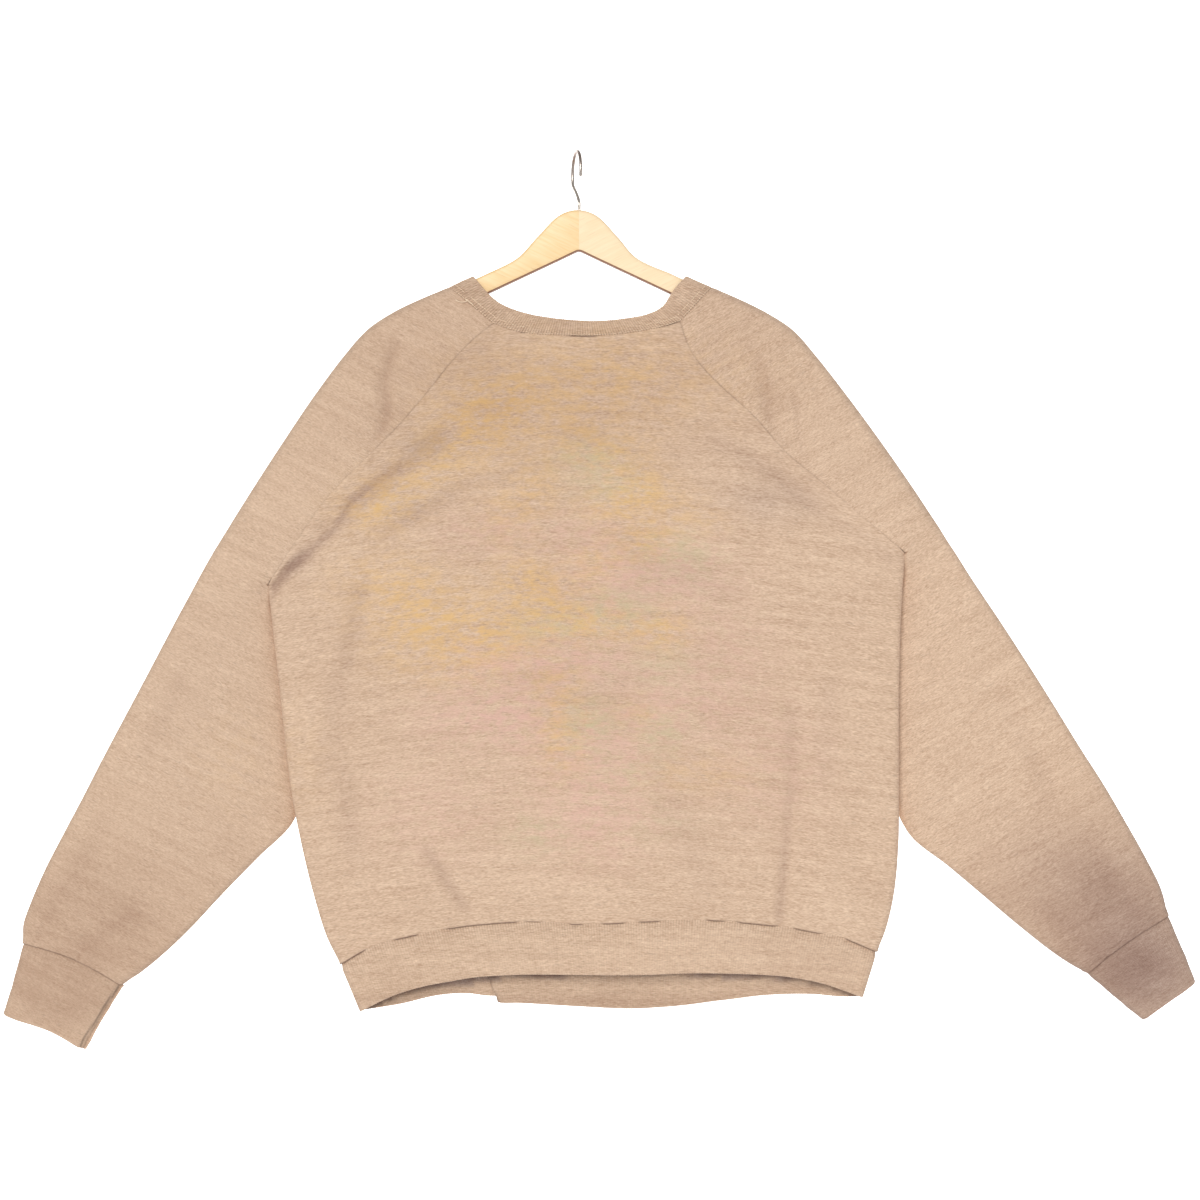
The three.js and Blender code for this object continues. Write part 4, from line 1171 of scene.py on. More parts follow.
class Recipe:
    """A material as a chain of shader nodes."""

    def __init__(self, name):
        self.material = bpy.data.materials.new(name)
        self.material.use_nodes = True
        self.tree = self.material.node_tree
        self.tree.nodes.clear()
        self.place = self.node("TexCoord").outputs["Object"]

    def node(self, kind, settings=None, **inputs):
        node = self.tree.nodes.new("ShaderNode" + kind)
        for key, value in (settings or {}).items():
            setattr(node, key, value)
        for key, value in inputs.items():
            self.put(node.inputs[key.replace("_", " ")], value)
        return node

    def put(self, socket, value):
        if isinstance(value, bpy.types.NodeSocket):
            self.tree.links.new(value, socket)
        else:
            socket.default_value = value

    def maths(self, operation, first, second=0.0, clamp=False):
        node = self.node("Math", {"operation": operation, "use_clamp": clamp})
        self.put(node.inputs[0], first)
        self.put(node.inputs[1], second)
        return node.outputs[0]

    def mix(self, factor, first, second, blend="MIX"):
        node = self.node("Mix", {"data_type": "RGBA", "blend_type": blend})
        self.put(node.inputs[0], factor)
        self.put(node.inputs[6], first)
        self.put(node.inputs[7], second)
        return node.outputs[2]

    def turned(self, vector, angle):
        return self.node("Mapping", Vector=vector, Rotation=(0, angle, 0)).outputs[0]

    def arched(self, vector, arch):
        """Coordinates whose level lines rise to the middle, as a hung panel's courses do."""
        parts = self.node("SeparateXYZ", Vector=vector)
        across = self.maths("MULTIPLY", parts.outputs[0], parts.outputs[0])
        raised = self.maths("ADD", parts.outputs[2], self.maths("MULTIPLY", across, arch))
        return self.node("CombineXYZ", X=parts.outputs[0], Y=parts.outputs[1], Z=raised).outputs[0]

    def noise(self, vector, stretch, detail=2.0, roughness=0.5):
        """Cloudy noise, with so many swells in a metre along each axis."""
        stretched = self.node("Mapping", Vector=vector, Scale=stretch).outputs[0]
        cloud = self.node("TexNoise", Vector=stretched, Scale=1.0, Detail=detail, Roughness=roughness)
        return cloud.outputs[0]

    def spread(self, value, low, high, to_low, to_high):
        node = self.node(
            "MapRange", Value=value, From_Min=low, From_Max=high, To_Min=to_low, To_Max=to_high,
        )
        return node.outputs[0]

    def layer(self, name):
        return self.node("Attribute", {"attribute_name": name}).outputs["Fac"]

    def bump(self, height, strength, distance, normal=None):
        node = self.node("Bump", Height=height, Strength=strength, Distance=distance)
        if normal is not None:
            self.put(node.inputs["Normal"], normal)
        return node.outputs[0]

    def finish(self, **inputs):
        shader = self.node("BsdfPrincipled", **inputs)
        self.node("OutputMaterial", Surface=shader.outputs[0])
        return self.material


def rgba(colour):
    return (*colour, 1.0)


# Colours of the small dark details: yarn flecks, painted shade in seams and rib valleys, wood pores, and the
# hook's darker brown
FLECK = (0.30, 0.21, 0.16)
SEAM_SHADOW = (0.11, 0.06, 0.045)
RIB_SHADOW = (0.25, 0.16, 0.11)
WOOD_PORE = (0.42, 0.24, 0.10)
STEEL_DARK = (0.20, 0.12, 0.10)


def knit_material(name, angle, cloth, ribbed=False):
    """Heather knit: pale and dark yarn in short streaks along the courses, tinted by wear, darker and greyer
    in patches, with painted shade in its creases, seams and rib valleys.
    """
    r = Recipe(name)
    knit = r.turned(r.place, angle) if angle else r.arched(r.place, COURSE_ARCH)
    long = 130 if angle == 0 else 190
    streak = r.noise(knit, (long, 220, 980), 2, 0.6)
    short = r.noise(knit, (2.4 * long, 420, 1600), 0, 0.5)
    calm = 0.75 if angle < 0 else 0.92
    band = r.noise(knit, (12, 20, 150), 1, 0.5)
    cloud = r.noise(r.place, (16, 16, 24), 1, 0.5)
    yarn = r.maths(
        "ADD", r.spread(streak, 0.3, 0.7, 0.31 - 0.31 * calm, 0.31 + 0.31 * calm),
        r.spread(short, 0.25, 0.75, 0.19 - 0.24 * calm, 0.19 + 0.24 * calm),
    )
    yarn = r.maths("ADD", yarn, r.spread(band, 0.3, 0.7, -0.1, 0.1), clamp=True)
    colour = r.mix(yarn, rgba(cloth.dark_yarn), rgba(cloth.pale_yarn))
    for tint in TINTS:
        moved = r.node("Mapping", Vector=knit, Location=(tint.start,) * 3).outputs[0]
        touches = r.spread(r.noise(moved, (56, 70, 125), 3, 0.65), 0.37, 0.63, 0.0, 1.1)
        broken = r.maths("MULTIPLY", touches, r.spread(streak, 0.3, 0.7, 0.75, 1.1))
        amount = r.maths("MULTIPLY", r.layer(tint.name), r.maths("MULTIPLY", broken, tint.most), clamp=True)
        colour = r.mix(amount, colour, rgba(getattr(cloth, tint.name)))
    # Greyer patches, partly painted grey shade in creases and in the far hem's slits
    colour = r.mix(r.maths("MULTIPLY", r.layer("cool"), 0.5), colour, rgba(cloth.dulling), "MULTIPLY")
    # Darker patches, partly painted shade in creases and under the near hem
    shade_amount = r.maths("MULTIPLY", r.layer("shade"), r.spread(cloud, 0.3, 0.7, 0.8, 1.2))
    colour = r.mix(shade_amount, colour, rgba(cloth.darkening), "MULTIPLY")
    fleck = r.spread(r.noise(knit, (110, 200, 900), 1, 0.5), 0.26, 0.35, 0.34, 0)
    colour = r.mix(fleck, colour, rgba(FLECK))
    # Painted shade from the seam layer: along seams, under bulges and folds, and under the near hem's edge
    colour = r.mix(r.maths("MULTIPLY", r.layer("seam"), 0.92), colour, rgba(SEAM_SHADOW))
    # Painted shade in the rib valleys
    if ribbed:
        colour = r.mix(r.maths("MULTIPLY", r.layer("valley"), 0.26, True), colour, rgba(RIB_SHADOW))
    relief = r.bump(r.noise(knit, (420, 700, 1100), 0, 0.6), 0.45, 0.0006)
    return r.finish(
        Base_Color=colour, Roughness=0.94, Normal=relief, Specular_IOR_Level=0.14,
        Sheen_Weight=0.12, Sheen_Roughness=0.6,
    )


def lining_material(cloth):
    """The fleece's brushed inside: paler, soft and cloudy."""
    r = Recipe("fleece_inside")
    cloud = r.noise(r.place, (60, 60, 70), 4, 0.65)
    fuzz = r.noise(r.place, (420, 420, 420), 3, 0.7)
    colour = r.mix(r.spread(cloud, 0.3, 0.7, 0, 0.55), rgba(cloth.lining), rgba(cloth.dark_yarn))
    relief = r.bump(r.maths("ADD", cloud, r.maths("MULTIPLY", fuzz, 0.7)), 0.7, 0.0012)
    return r.finish(
        Base_Color=colour, Roughness=0.98, Normal=relief, Specular_IOR_Level=0.1,
        Sheen_Weight=0.2, Sheen_Roughness=0.7,
    )


def thread_material(cloth):
    r = Recipe("sewing_thread")
    twist = r.noise(r.place, (1400, 1400, 500), 2, 0.5)
    colour = r.mix(r.spread(twist, 0.3, 0.7, 0, 0.5), rgba(cloth.sewing), rgba(cloth.pale_yarn))
    return r.finish(
        Base_Color=colour, Roughness=0.6, Normal=r.bump(twist, 0.3, 0.0002), Specular_IOR_Level=0.35,
        Sheen_Weight=0.05,
    )


def wood_material(name, angle, wood, grain):
    """Lacquered pale wood, with its grain along the arm."""
    r = Recipe(name)
    board = r.turned(r.place, angle)
    figure = r.noise(board, (5, 60, 46), 3, 0.6)
    rings = r.maths("SINE", r.maths("MULTIPLY", figure, 52.0))
    fibre = r.noise(board, (26, 500, 520), 3, 0.6)
    pores = r.spread(r.noise(board, (60, 900, 950), 1, 0.5), 0.28, 0.34, 0.14, 0)
    line = r.maths("ADD", r.spread(rings, -1, 1, 0.0, 0.3), r.spread(fibre, 0.3, 0.7, -0.05, 0.3), clamp=True)
    colour = r.mix(line, rgba(wood), rgba(grain))
    colour = r.mix(pores, colour, rgba(WOOD_PORE))
    relief = r.bump(r.maths("ADD", fibre, r.maths("MULTIPLY", figure, 0.4)), 0.12, 0.0004)
    return r.finish(
        Base_Color=colour, Roughness=r.spread(fibre, 0.3, 0.7, 0.34, 0.5), Normal=relief,
        Specular_IOR_Level=0.42, Coat_Weight=0.25, Coat_Roughness=0.22,
    )


def steel_material(hanger):
    r = Recipe("hook_steel")
    drawn = r.noise(r.place, (260, 260, 40), 2, 0.6)
    height = r.node("SeparateXYZ", Vector=r.place).outputs[2]
    # Darker and browner in streaks and towards the top of the hook
    darker_share = r.maths("ADD", r.spread(drawn, 0.3, 0.7, 0, 0.2), r.spread(height, -0.036, -0.004, 0.05, 0.6))
    colour = r.mix(darker_share, rgba(hanger.steel), rgba(STEEL_DARK))
    return r.finish(
        Base_Color=colour, Metallic=1.0, Roughness=r.spread(drawn, 0.3, 0.7, 0.16, 0.32),
        Normal=r.bump(drawn, 0.06, 0.0002),
    )


# Grain of each piece's knit: the courses run across the panel that the piece is cut from
GRAIN_ANGLE = {"body": 0.0, "left": math.radians(-27), "right": math.radians(29)}
COURSE_ARCH = 0.28  # the body's courses rise to its middle, by this times x squared


def material_of(name, make):
    return bpy.data.materials.get(name) or make()


def knit_of(place, ribbed=False):
    cloth = bpy.context.scene.sweatshirt_cloth
    name = f"{'rib' if ribbed else 'fleece'}_{place}"
    return material_of(name, lambda: knit_material(name, GRAIN_ANGLE[place], cloth, ribbed))


def lining():
    return material_of("fleece_inside", lambda: lining_material(bpy.context.scene.sweatshirt_cloth))


# Round pieces

def tube(points, radius, sides):
    """Vertices and faces of a round rod along points, with domed ends."""
    points = np.asarray(points, float)
    forward = unit(np.gradient(points, axis=0))
    helper = np.array([0.0, 1.0, 0.0]) if abs(forward[0][1]) < 0.8 else np.array([1.0, 0.0, 0.0])
    normal = unit(np.cross(forward[0], helper))
    rings, angles = [], np.linspace(0, 2 * np.pi, sides, endpoint=False)
    for i, way in enumerate(forward):
        normal = unit(normal - way * (normal @ way))
        other = np.cross(way, normal)
        circle = np.outer(np.cos(angles), normal) + np.outer(np.sin(angles), other)
        rings.append((points[i], circle))
    first, last = rings[0], rings[-1]
    places = [first[0] - forward[0] * radius * 0.6 + first[1] * radius * 0.6]
    places += [centre + circle * radius for centre, circle in rings]
    places.append(last[0] + forward[-1] * radius * 0.6 + last[1] * radius * 0.6)
    stacked = np.array(places)
    count = len(stacked)
    index = np.arange(count * sides).reshape(count, sides)
    index = np.column_stack([index, index[:, :1]])
    walls = quads_of(index)[:, ::-1]
    ends = [list(range(sides))[::-1], list(range((count - 1) * sides, count * sides))]
    return stacked.reshape(-1, 3), walls.tolist() + ends


def joined_object(name, parts, material):
    """One mesh from many small ones."""
    points, faces, start = [], [], 0
    for part_points, part_faces in parts:
        points.append(part_points)
        faces += [[i + start for i in face] for face in part_faces]
        start += len(part_points)
    mesh = bpy.data.meshes.new(name)
    places = (np.vstack(points) + np.array([HOOK_OFFSET, 0, 0])) * MM
    mesh.from_pydata(places.tolist(), [], faces)
    mesh.materials.append(material)
    mesh.polygons.foreach_set("use_smooth", np.ones(len(mesh.polygons), bool))
    mesh.set_sharp_from_angle(angle=math.radians(50))
    piece = bpy.data.objects.new(name, mesh)
    bpy.context.scene.collection.objects.link(piece)
    return piece


ARMS = ["hanger_arm_left", "hanger_arm_right"]
SHEETS = {}


def neck_ring():
    rows = [SHEETS["back"][0], SHEETS["sleeve_right"][0], SHEETS["front"][0], SHEETS["sleeve_left"][0]]
    return ring_of(rows)


def ribs_for(ring, cloth):
    return max(8, round(ring_length(ring) / (cloth.rib_pitch / MM))) * COLUMNS_PER_RIB


def settle(piece, nodes, slot, **sheet):
    """Attaches a cloth piece to the root body and hides its nodes' solids; its slot and the size it was cut
    to are not used.
    """
    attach(piece, "root")
    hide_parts(*nodes)


class SWEATSHIRT_OT_body(bpy.types.Operator):
    """Builds the back and the front of fleece, cut with raglan armholes"""

    bl_idname = "sweatshirt.body"
    bl_label = "Body"

    def execute(self, context):
        cloth = context.scene.sweatshirt_cloth
        for name, face in (("back", BACK), ("front", FRONT)):
            piece, SHEETS[name] = body_panel(f"{name}_cloth", face, cloth, [knit_of("body"), lining()])
            settle(piece, [name], "fleece", flat=(0.68, 0.70), area=0.35, rests_on=ARMS)
        return {"FINISHED"}


class SWEATSHIRT_OT_sleeves(bpy.types.Operator):
    """Builds both raglan sleeves of fleece"""

    bl_idname = "sweatshirt.sleeves"
    bl_label = "Sleeves"

    def execute(self, context):
        cloth = context.scene.sweatshirt_cloth
        for side in SIGN:
            name = f"sleeve_{side}"
            piece, SHEETS[name] = sleeve_tube(side, cloth, [knit_of(side), lining()])
            settle(piece, [name], "fleece", flat=(0.40, 0.82), area=0.21, rests_on=[f"hanger_arm_{side}"])
        return {"FINISHED"}


class SWEATSHIRT_OT_collar(bpy.types.Operator):
    """Builds the folded rib of the neck"""

    bl_idname = "sweatshirt.collar"
    bl_label = "Collar"

    def execute(self, context):
        cloth = context.scene.sweatshirt_cloth
        seam = neck_ring()
        seam = even_ring(seam, ribs_for(seam, cloth))
        edge = free_edge(seam, COLLAR_EDGE, collar_depth)
        rows = straight_band(seam, edge, COLLAR_LEAN.bulge, cloth.rib_wall / MM)
        SHEETS["collar"] = rows
        distance = length_of(rows - rows[0])
        x = rows[..., 0]
        over = by_face(rows[..., 1] < 0, COLLAR_BULGES, lambda bulges: opened(x, bulges))
        shift = -(0.35 + 0.5 * over) * bell(distance, 1.8)
        shift += 0.25 * irregular(x + rows[..., 2], (16, 27, 43), 12) * smoothstep(distance, 2, 8)
        # Painted shade under the fleece where it bulges over the collar's seam
        dark = (0.04 + 0.9 * over) * bell(distance, DARK_LINE.collar)
        piece = band_object(
            "collar_cloth", rows, cloth, shift, dark, True, [knit_of("body", True)], clear=1.5,
        )
        settle(piece, ["collar"], "rib", flat=(0.62, 0.025), rests_on=ARMS)
        return {"FINISHED"}


class SWEATSHIRT_OT_hem_band(bpy.types.Operator):
    """Builds the folded rib of the hem"""

    bl_idname = "sweatshirt.hem_band"
    bl_label = "Hem band"

    def execute(self, context):
        cloth = context.scene.sweatshirt_cloth
        seam = ring_of([SHEETS["back"][-1], SHEETS["front"][-1]])
        seam = even_ring(seam, ribs_for(seam, cloth))
        edge = free_edge(seam, HEM_EDGE, hem_depth)
        rows = straight_band(seam, edge, 0.0, cloth.rib_wall / MM)
        distance = length_of(rows - rows[0])
        x = rows[..., 0]
        on_back = rows[..., 1] < 0
        past = x - (HEM_PLEAT.top_x + (HEM_PLEAT.edge_x - HEM_PLEAT.top_x) * distance / distance[-1])
        down = (distance / distance[-1]) ** 0.7
        lapped = HEM_PLEAT.depth * smoothstep(past, -HEM_PLEAT.roll, 0)
        lapped = lapped * np.exp(-np.maximum(past, 0) / HEM_PLEAT.run)
        lifted = HEM_PLEAT.lift * bell(past, HEM_PLEAT.lift_run) * (1 - smoothstep(past, -0.8, 0.2))
        rows[..., 1] -= np.where(on_back, 0, lapped * down)
        rows[..., 2] += np.where(on_back, 0, lifted * down)
        over = by_face(on_back, HEM_BULGES, lambda bulges: opened(x, bulges))
        pinch = by_face(on_back, HEM_PINCHES, lambda pinches: pinched(x, distance, pinches))
        at_side = smoothstep(np.abs(x - 20), 244, 256)
        shift = -(0.1 + 0.7 * over + 1.3 * at_side) * bell(distance, 4.5) - 0.6 * pinch
        shift += 0.45 * irregular(x, (24, 39, 58), 14) * smoothstep(distance, 2, 12)
        # Painted shade along the hem's seam, under the fleece's bulges
        dark = 0.5 * smoothstep(over, 0.25, 0.85) * bell(distance, DARK_LINE.band)
        # Painted shade along the lapped edge of the far side's pleat, on its inside
        pleat = np.where(on_back, 0, HEM_PLEAT.shade * bell(past + 1.1, 1.5) * down)
        piece = band_object(
            "hem_band_cloth", rows, cloth, shift, dark, False, [knit_of("body", True)], under_near_hem,
            pleat[::-1], relief=0.6,
        )
        settle(piece, ["hem_band_back", "hem_band_front"], "rib", flat=(1.12, 0.055), rests_on=ARMS)
        return {"FINISHED"}


def inner_distance(rows, ring):
    """Distance of each point of a cuff from its outline towards the body."""
    edge = rows[:, np.argmax(ring[:, 0])][:, None]
    return length_of((rows - edge) * np.array([1, 0, 1]))


class SWEATSHIRT_OT_cuffs(bpy.types.Operator):
    """Builds the folded rib of both cuffs"""

    bl_idname = "sweatshirt.cuffs"
    bl_label = "Cuffs"

    def execute(self, context):
        cloth = context.scene.sweatshirt_cloth
        for side in SIGN:
            ring = SHEETS[f"sleeve_{side}"][-1][:-1]
            ring = even_ring(ring, ribs_for(ring, cloth))
            rows = cuff_rows(side, ring, cloth.rib_wall / MM)
            distance = length_of(rows - rows[0])
            shift = -0.6 * bell(distance, 2.4)
            across = rows[..., 0] - SIGN[side] * 0.5 * rows[..., 2]
            shift += 0.4 * irregular(across, (17, 29, 44), 40 + SIGN[side]) * smoothstep(distance, 2, 14)
            # Painted shade along the cuff's seam
            dark = 0.6 * bell(distance, DARK_LINE.collar)
            if side == "left":
                inward = inner_distance(rows, ring)
                fold = CUFF_FOLD.top + (CUFF_FOLD.edge - CUFF_FOLD.top) * distance / distance[-1]
                fold = fold + CUFF_FOLD.wave * irregular(distance, (13, 22, 37), 9)
                near = rows[..., 1] < np.mean(rows[..., 1])
                pressed = CUFF_FOLD.depth * (1 - smoothstep(inward, fold - 0.5, fold + 0.6))
                rows[..., 1] += np.where(near, pressed, 0)
                # Painted shade along the left cuff's fold
                dark += np.where(near, CUFF_FOLD.dark * bell(inward - fold + 0.3, CUFF_FOLD.line), 0)
            piece = band_object(
                f"cuff_{side}_cloth", rows, cloth, shift, dark, False, [knit_of(side, True)],
                clear=0.4, relief=0.4,
            )
            settle(piece, [f"cuff_{side}"], "rib", flat=(0.215, 0.078), rests_on=[f"hanger_arm_{side}"])
        return {"FINISHED"}


def under_near_hem(points):
    """How dark the painted shadow on the far side of the hem is just under the near side's edge, and how much
    painted grey shade it has there.
    """
    near_edge = Line(HEM_EDGE[BACK]).at(np.linspace(0, 1, 300))
    x, y, z = points.T
    below = np.interp(x, near_edge[:, 0], near_edge[:, 2]) - z - HEM_SIGHT.drop
    wide = sum(gap.depth * bell(x - gap.x, gap.reach) for gap in HEM_GAPS)
    dark = np.exp(-np.maximum(below, 0) / HEM_SIGHT.fade)
    grey = 1 - smoothstep(below, wide - 0.7, wide + 0.7)
    inside = (y > 0) & (y < HEM_SIGHT.inside)
    return np.where(inside, dark * HEM_SIGHT.shade, 0), np.where(inside, grey * np.minimum(wide, 1), 0)


def arm_outline():
    """Outline of the whole hanger, clockwise from its left shoulder, seen from the back."""
    points = np.column_stack([column(HUMP, "x"), column(HUMP, "z")])
    padded = np.vstack([points[0], points, points[-1]])
    outline = []
    for i in range(len(points) - 1):
        p0, p1, p2, p3 = padded[i:i + 4]
        for t in np.linspace(0, 1, 12, endpoint=False):
            v0, v1 = (p2 - p0) / 2, (p3 - p1) / 2
            cubed = (2 * p1 - 2 * p2 + v0 + v1) * t**3
            outline.append(cubed + (-3 * p1 + 3 * p2 - 2 * v0 - v1) * t**2 + v0 * t + p1)
    w = WOOD
    tip_top = w.shoulder_z - w.slope * (w.tip_x - w.straight_from_x)
    tip_under = w.under_z - w.slope * (w.tip_x - w.under_from_x)
    tip_middle = (tip_top + tip_under) / 2
    far = w.tip_x + w.tip_reach

    def bend(start, over, end):
        t = np.linspace(0, 1, 10, endpoint=False)[:, None]
        return list((1 - t) ** 2 * np.array(start) + 2 * t * (1 - t) * np.array(over) + t**2 * np.array(end))

    near_tip = w.tip_x - w.tip_reach
    outline += [points[-1]]
    outline += bend((w.tip_x, tip_top), (far, tip_top - w.slope * w.tip_reach), (far, tip_middle))
    outline += bend((far, tip_middle), (far, tip_under), (near_tip, tip_under + w.tip_reach * w.slope))
    outline += [(near_tip, tip_under + w.tip_reach * w.slope)]
    near_apex = w.under_z + (w.v_apex_z - w.under_z) * w.apex_share
    outline += [(w.under_from_x, w.under_z)]
    outline += bend((w.apex_half, near_apex), (0, w.v_apex_z), (-w.apex_half, near_apex))
    outline += [(-w.under_from_x, w.under_z)]
    outline += bend((-near_tip, tip_under + w.tip_reach * w.slope), (-far, tip_under), (-far, tip_middle))
    outline += bend((-far, tip_middle), (-far, tip_top - w.slope * w.tip_reach), (-w.tip_x, tip_top))
    outline += [(-w.tip_x, tip_top)]
    return np.array([tuple(p) for p in outline])


def hanger_plank():
    """The whole plank with round edges, as a bmesh in metres."""
    outline = arm_outline()
    way = unit(np.roll(outline, -1, axis=0) - np.roll(outline, 1, axis=0))
    inward = np.column_stack([way[:, 1], -way[:, 0]])
    half = WOOD.thickness / 2
    plank = bmesh.new()
    rings = []
    angles = np.radians([90, 75, 60, 45, 30, 15, 0])
    levels = [(a, -1) for a in angles] + [(a, 1) for a in angles[::-1]]
    for angle, side in levels:
        inset = WOOD.edge * (1 - math.cos(angle))
        depth = side * (half - WOOD.edge * (1 - math.sin(angle)))
        ring = [
            plank.verts.new(((x + HOOK_OFFSET) * MM, depth * MM, z * MM)) for x, z in outline + inward * inset
        ]
        rings.append(ring)
    for near, far in zip(rings, rings[1:]):
        for i in range(len(near)):
            j = (i + 1) % len(near)
            plank.faces.new((near[i], far[i], far[j], near[j]))
    plank.faces.new(rings[0])
    plank.faces.new(rings[-1][::-1])
    bmesh.ops.recalc_face_normals(plank, faces=plank.faces)
    return plank


def hook_path():
    """Middle of the wire, from its tip over the rail and down into the wood."""
    wire_radius = bpy.context.scene.sweatshirt_hanger.wire_radius / MM
    centre = wire_radius - WIRE.bend_radius
    turn = math.radians(WIRE.turn)
    points = []
    for angle in range(WIRE.tip_angle, WIRE.foot_angle + 1, WIRE.angle_step):
        out = WIRE.bend_radius * math.cos(math.radians(angle))
        height = centre + WIRE.bend_radius * math.sin(math.radians(angle))
        points.append((-HOOK_OFFSET + out * math.cos(turn), -out * math.sin(turn), height))
    foot = points[-1]
    under = centre - WIRE.bend_radius
    points.append((foot[0] * WIRE.neck_share, foot[1] * WIRE.neck_share, under + WIRE.neck_rise))
    points += [(0, 0, z) for z in (under - WIRE.straight_from, WOOD.top_z, WOOD.top_z - WOOD.hole_depth + 1)]
    line = Line(table("x z", [(p[0], p[2]) for p in points]))
    line.points = np.array(points, float)
    return line.at(np.linspace(0, 1, 150))


class SWEATSHIRT_OT_hanger(bpy.types.Operator):
    """Builds the two glued arms of the hanger"""

    bl_idname = "sweatshirt.hanger"
    bl_label = "Hanger"

    def execute(self, context):
        hanger = context.scene.sweatshirt_hanger
        lean = math.atan(WOOD.slope)
        finishes = {
            "left": wood_material("wood_warm", -lean, hanger.warm_wood, hanger.warm_grain),
            "right": wood_material("wood_pale", lean, hanger.pale_wood, hanger.pale_grain),
        }
        # Painted shade: the faces turned down get the dark brown underside wood
        underside = wood_material("wood_underside_shade", lean, hanger.raw_wood, hanger.raw_wood)
        hole_radius = hanger.wire_radius + WOOD.hole_clearance * MM
        drill = bmesh.new()
        bmesh.ops.create_cone(
            drill, cap_ends=True, segments=32, radius1=hole_radius, radius2=hole_radius,
            depth=2 * WOOD.hole_depth * MM,
        )
        bmesh.ops.translate(drill, verts=drill.verts, vec=Vector((HOOK_OFFSET, 0, WOOD.top_z)) * MM)
        drill_mesh = bpy.data.meshes.new("hook_hole")
        drill.to_mesh(drill_mesh)
        drill.free()
        cutter = bpy.data.objects.new("hook_hole", drill_mesh)
        context.scene.collection.objects.link(cutter)
        for side, sign in SIGN.items():
            plank = hanger_plank()
            cut = bmesh.ops.bisect_plane(
                plank, geom=plank.verts[:] + plank.edges[:] + plank.faces[:],
                plane_co=((HOOK_OFFSET + sign * SEAM_GAP / 2) * MM, 0, 0), plane_no=(-sign, 0, 0),
                clear_outer=True,
            )
            edges = [e for e in cut["geom_cut"] if isinstance(e, bmesh.types.BMEdge)]
            bmesh.ops.edgenet_fill(plank, edges=edges)
            bmesh.ops.recalc_face_normals(plank, faces=plank.faces)
            mesh = bpy.data.meshes.new(f"hanger_{side}_arm")
            plank.to_mesh(mesh)
            plank.free()
            arm = bpy.data.objects.new(f"hanger_{side}_arm", mesh)
            context.scene.collection.objects.link(arm)
            drilled = arm.modifiers.new("hole", "BOOLEAN")
            drilled.operation, drilled.object, drilled.solver = "DIFFERENCE", cutter, "EXACT"
            context.view_layer.update()
            ready = bpy.data.meshes.new_from_object(arm.evaluated_get(context.evaluated_depsgraph_get()))
            arm.modifiers.clear()
            arm.data = ready
            ready.materials.clear()
            ready.materials.append(finishes[side])
            ready.materials.append(underside)
            facing_down = np.array([polygon.normal.z < -0.5 for polygon in ready.polygons], np.int32)
            ready.polygons.foreach_set("material_index", facing_down)
            ready.polygons.foreach_set("use_smooth", np.ones(len(ready.polygons), bool))
            ready.set_sharp_from_angle(angle=math.radians(34))
            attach(arm, "root")
            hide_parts(f"hanger_arm_{side}")
        bpy.data.objects.remove(cutter)
        return {"FINISHED"}


class SWEATSHIRT_OT_hook(bpy.types.Operator):
    """Builds the hanger's wire hook"""

    bl_idname = "sweatshirt.hook"
    bl_label = "Hook"

    def execute(self, context):
        hanger = context.scene.sweatshirt_hanger
        wire = tube(hook_path(), hanger.wire_radius / MM, 20)
        hook = joined_object("hook_wire", [wire], steel_material(hanger))
        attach(hook, "root")
        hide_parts("hanger_hook")
        return {"FINISHED"}


# Rows of stitches along the collar's seam: how far above it, how far from the middle each row starts to
# show, its thread's share of the full thickness, and how much of a stitch's length shows
STITCH_ROWS = table("place from_x thread share", [(1.4, 0, 0.62, 0.7), (6.6, 62, 0.75, 0.7)])
STITCH_WANDER = 0.45
STITCHES_LOST = 0.22
LOOSE_THREAD = table("x y z", [
    (-129, -11.6, -155.4), (-125.5, -12.4, -157.4), (-121, -12.8, -157.9), (-117, -12.4, -156.6),
    (-118.5, -12.3, -154.6), (-114, -12.0, -157.8), (-110.5, -11.4, -160.6),
])


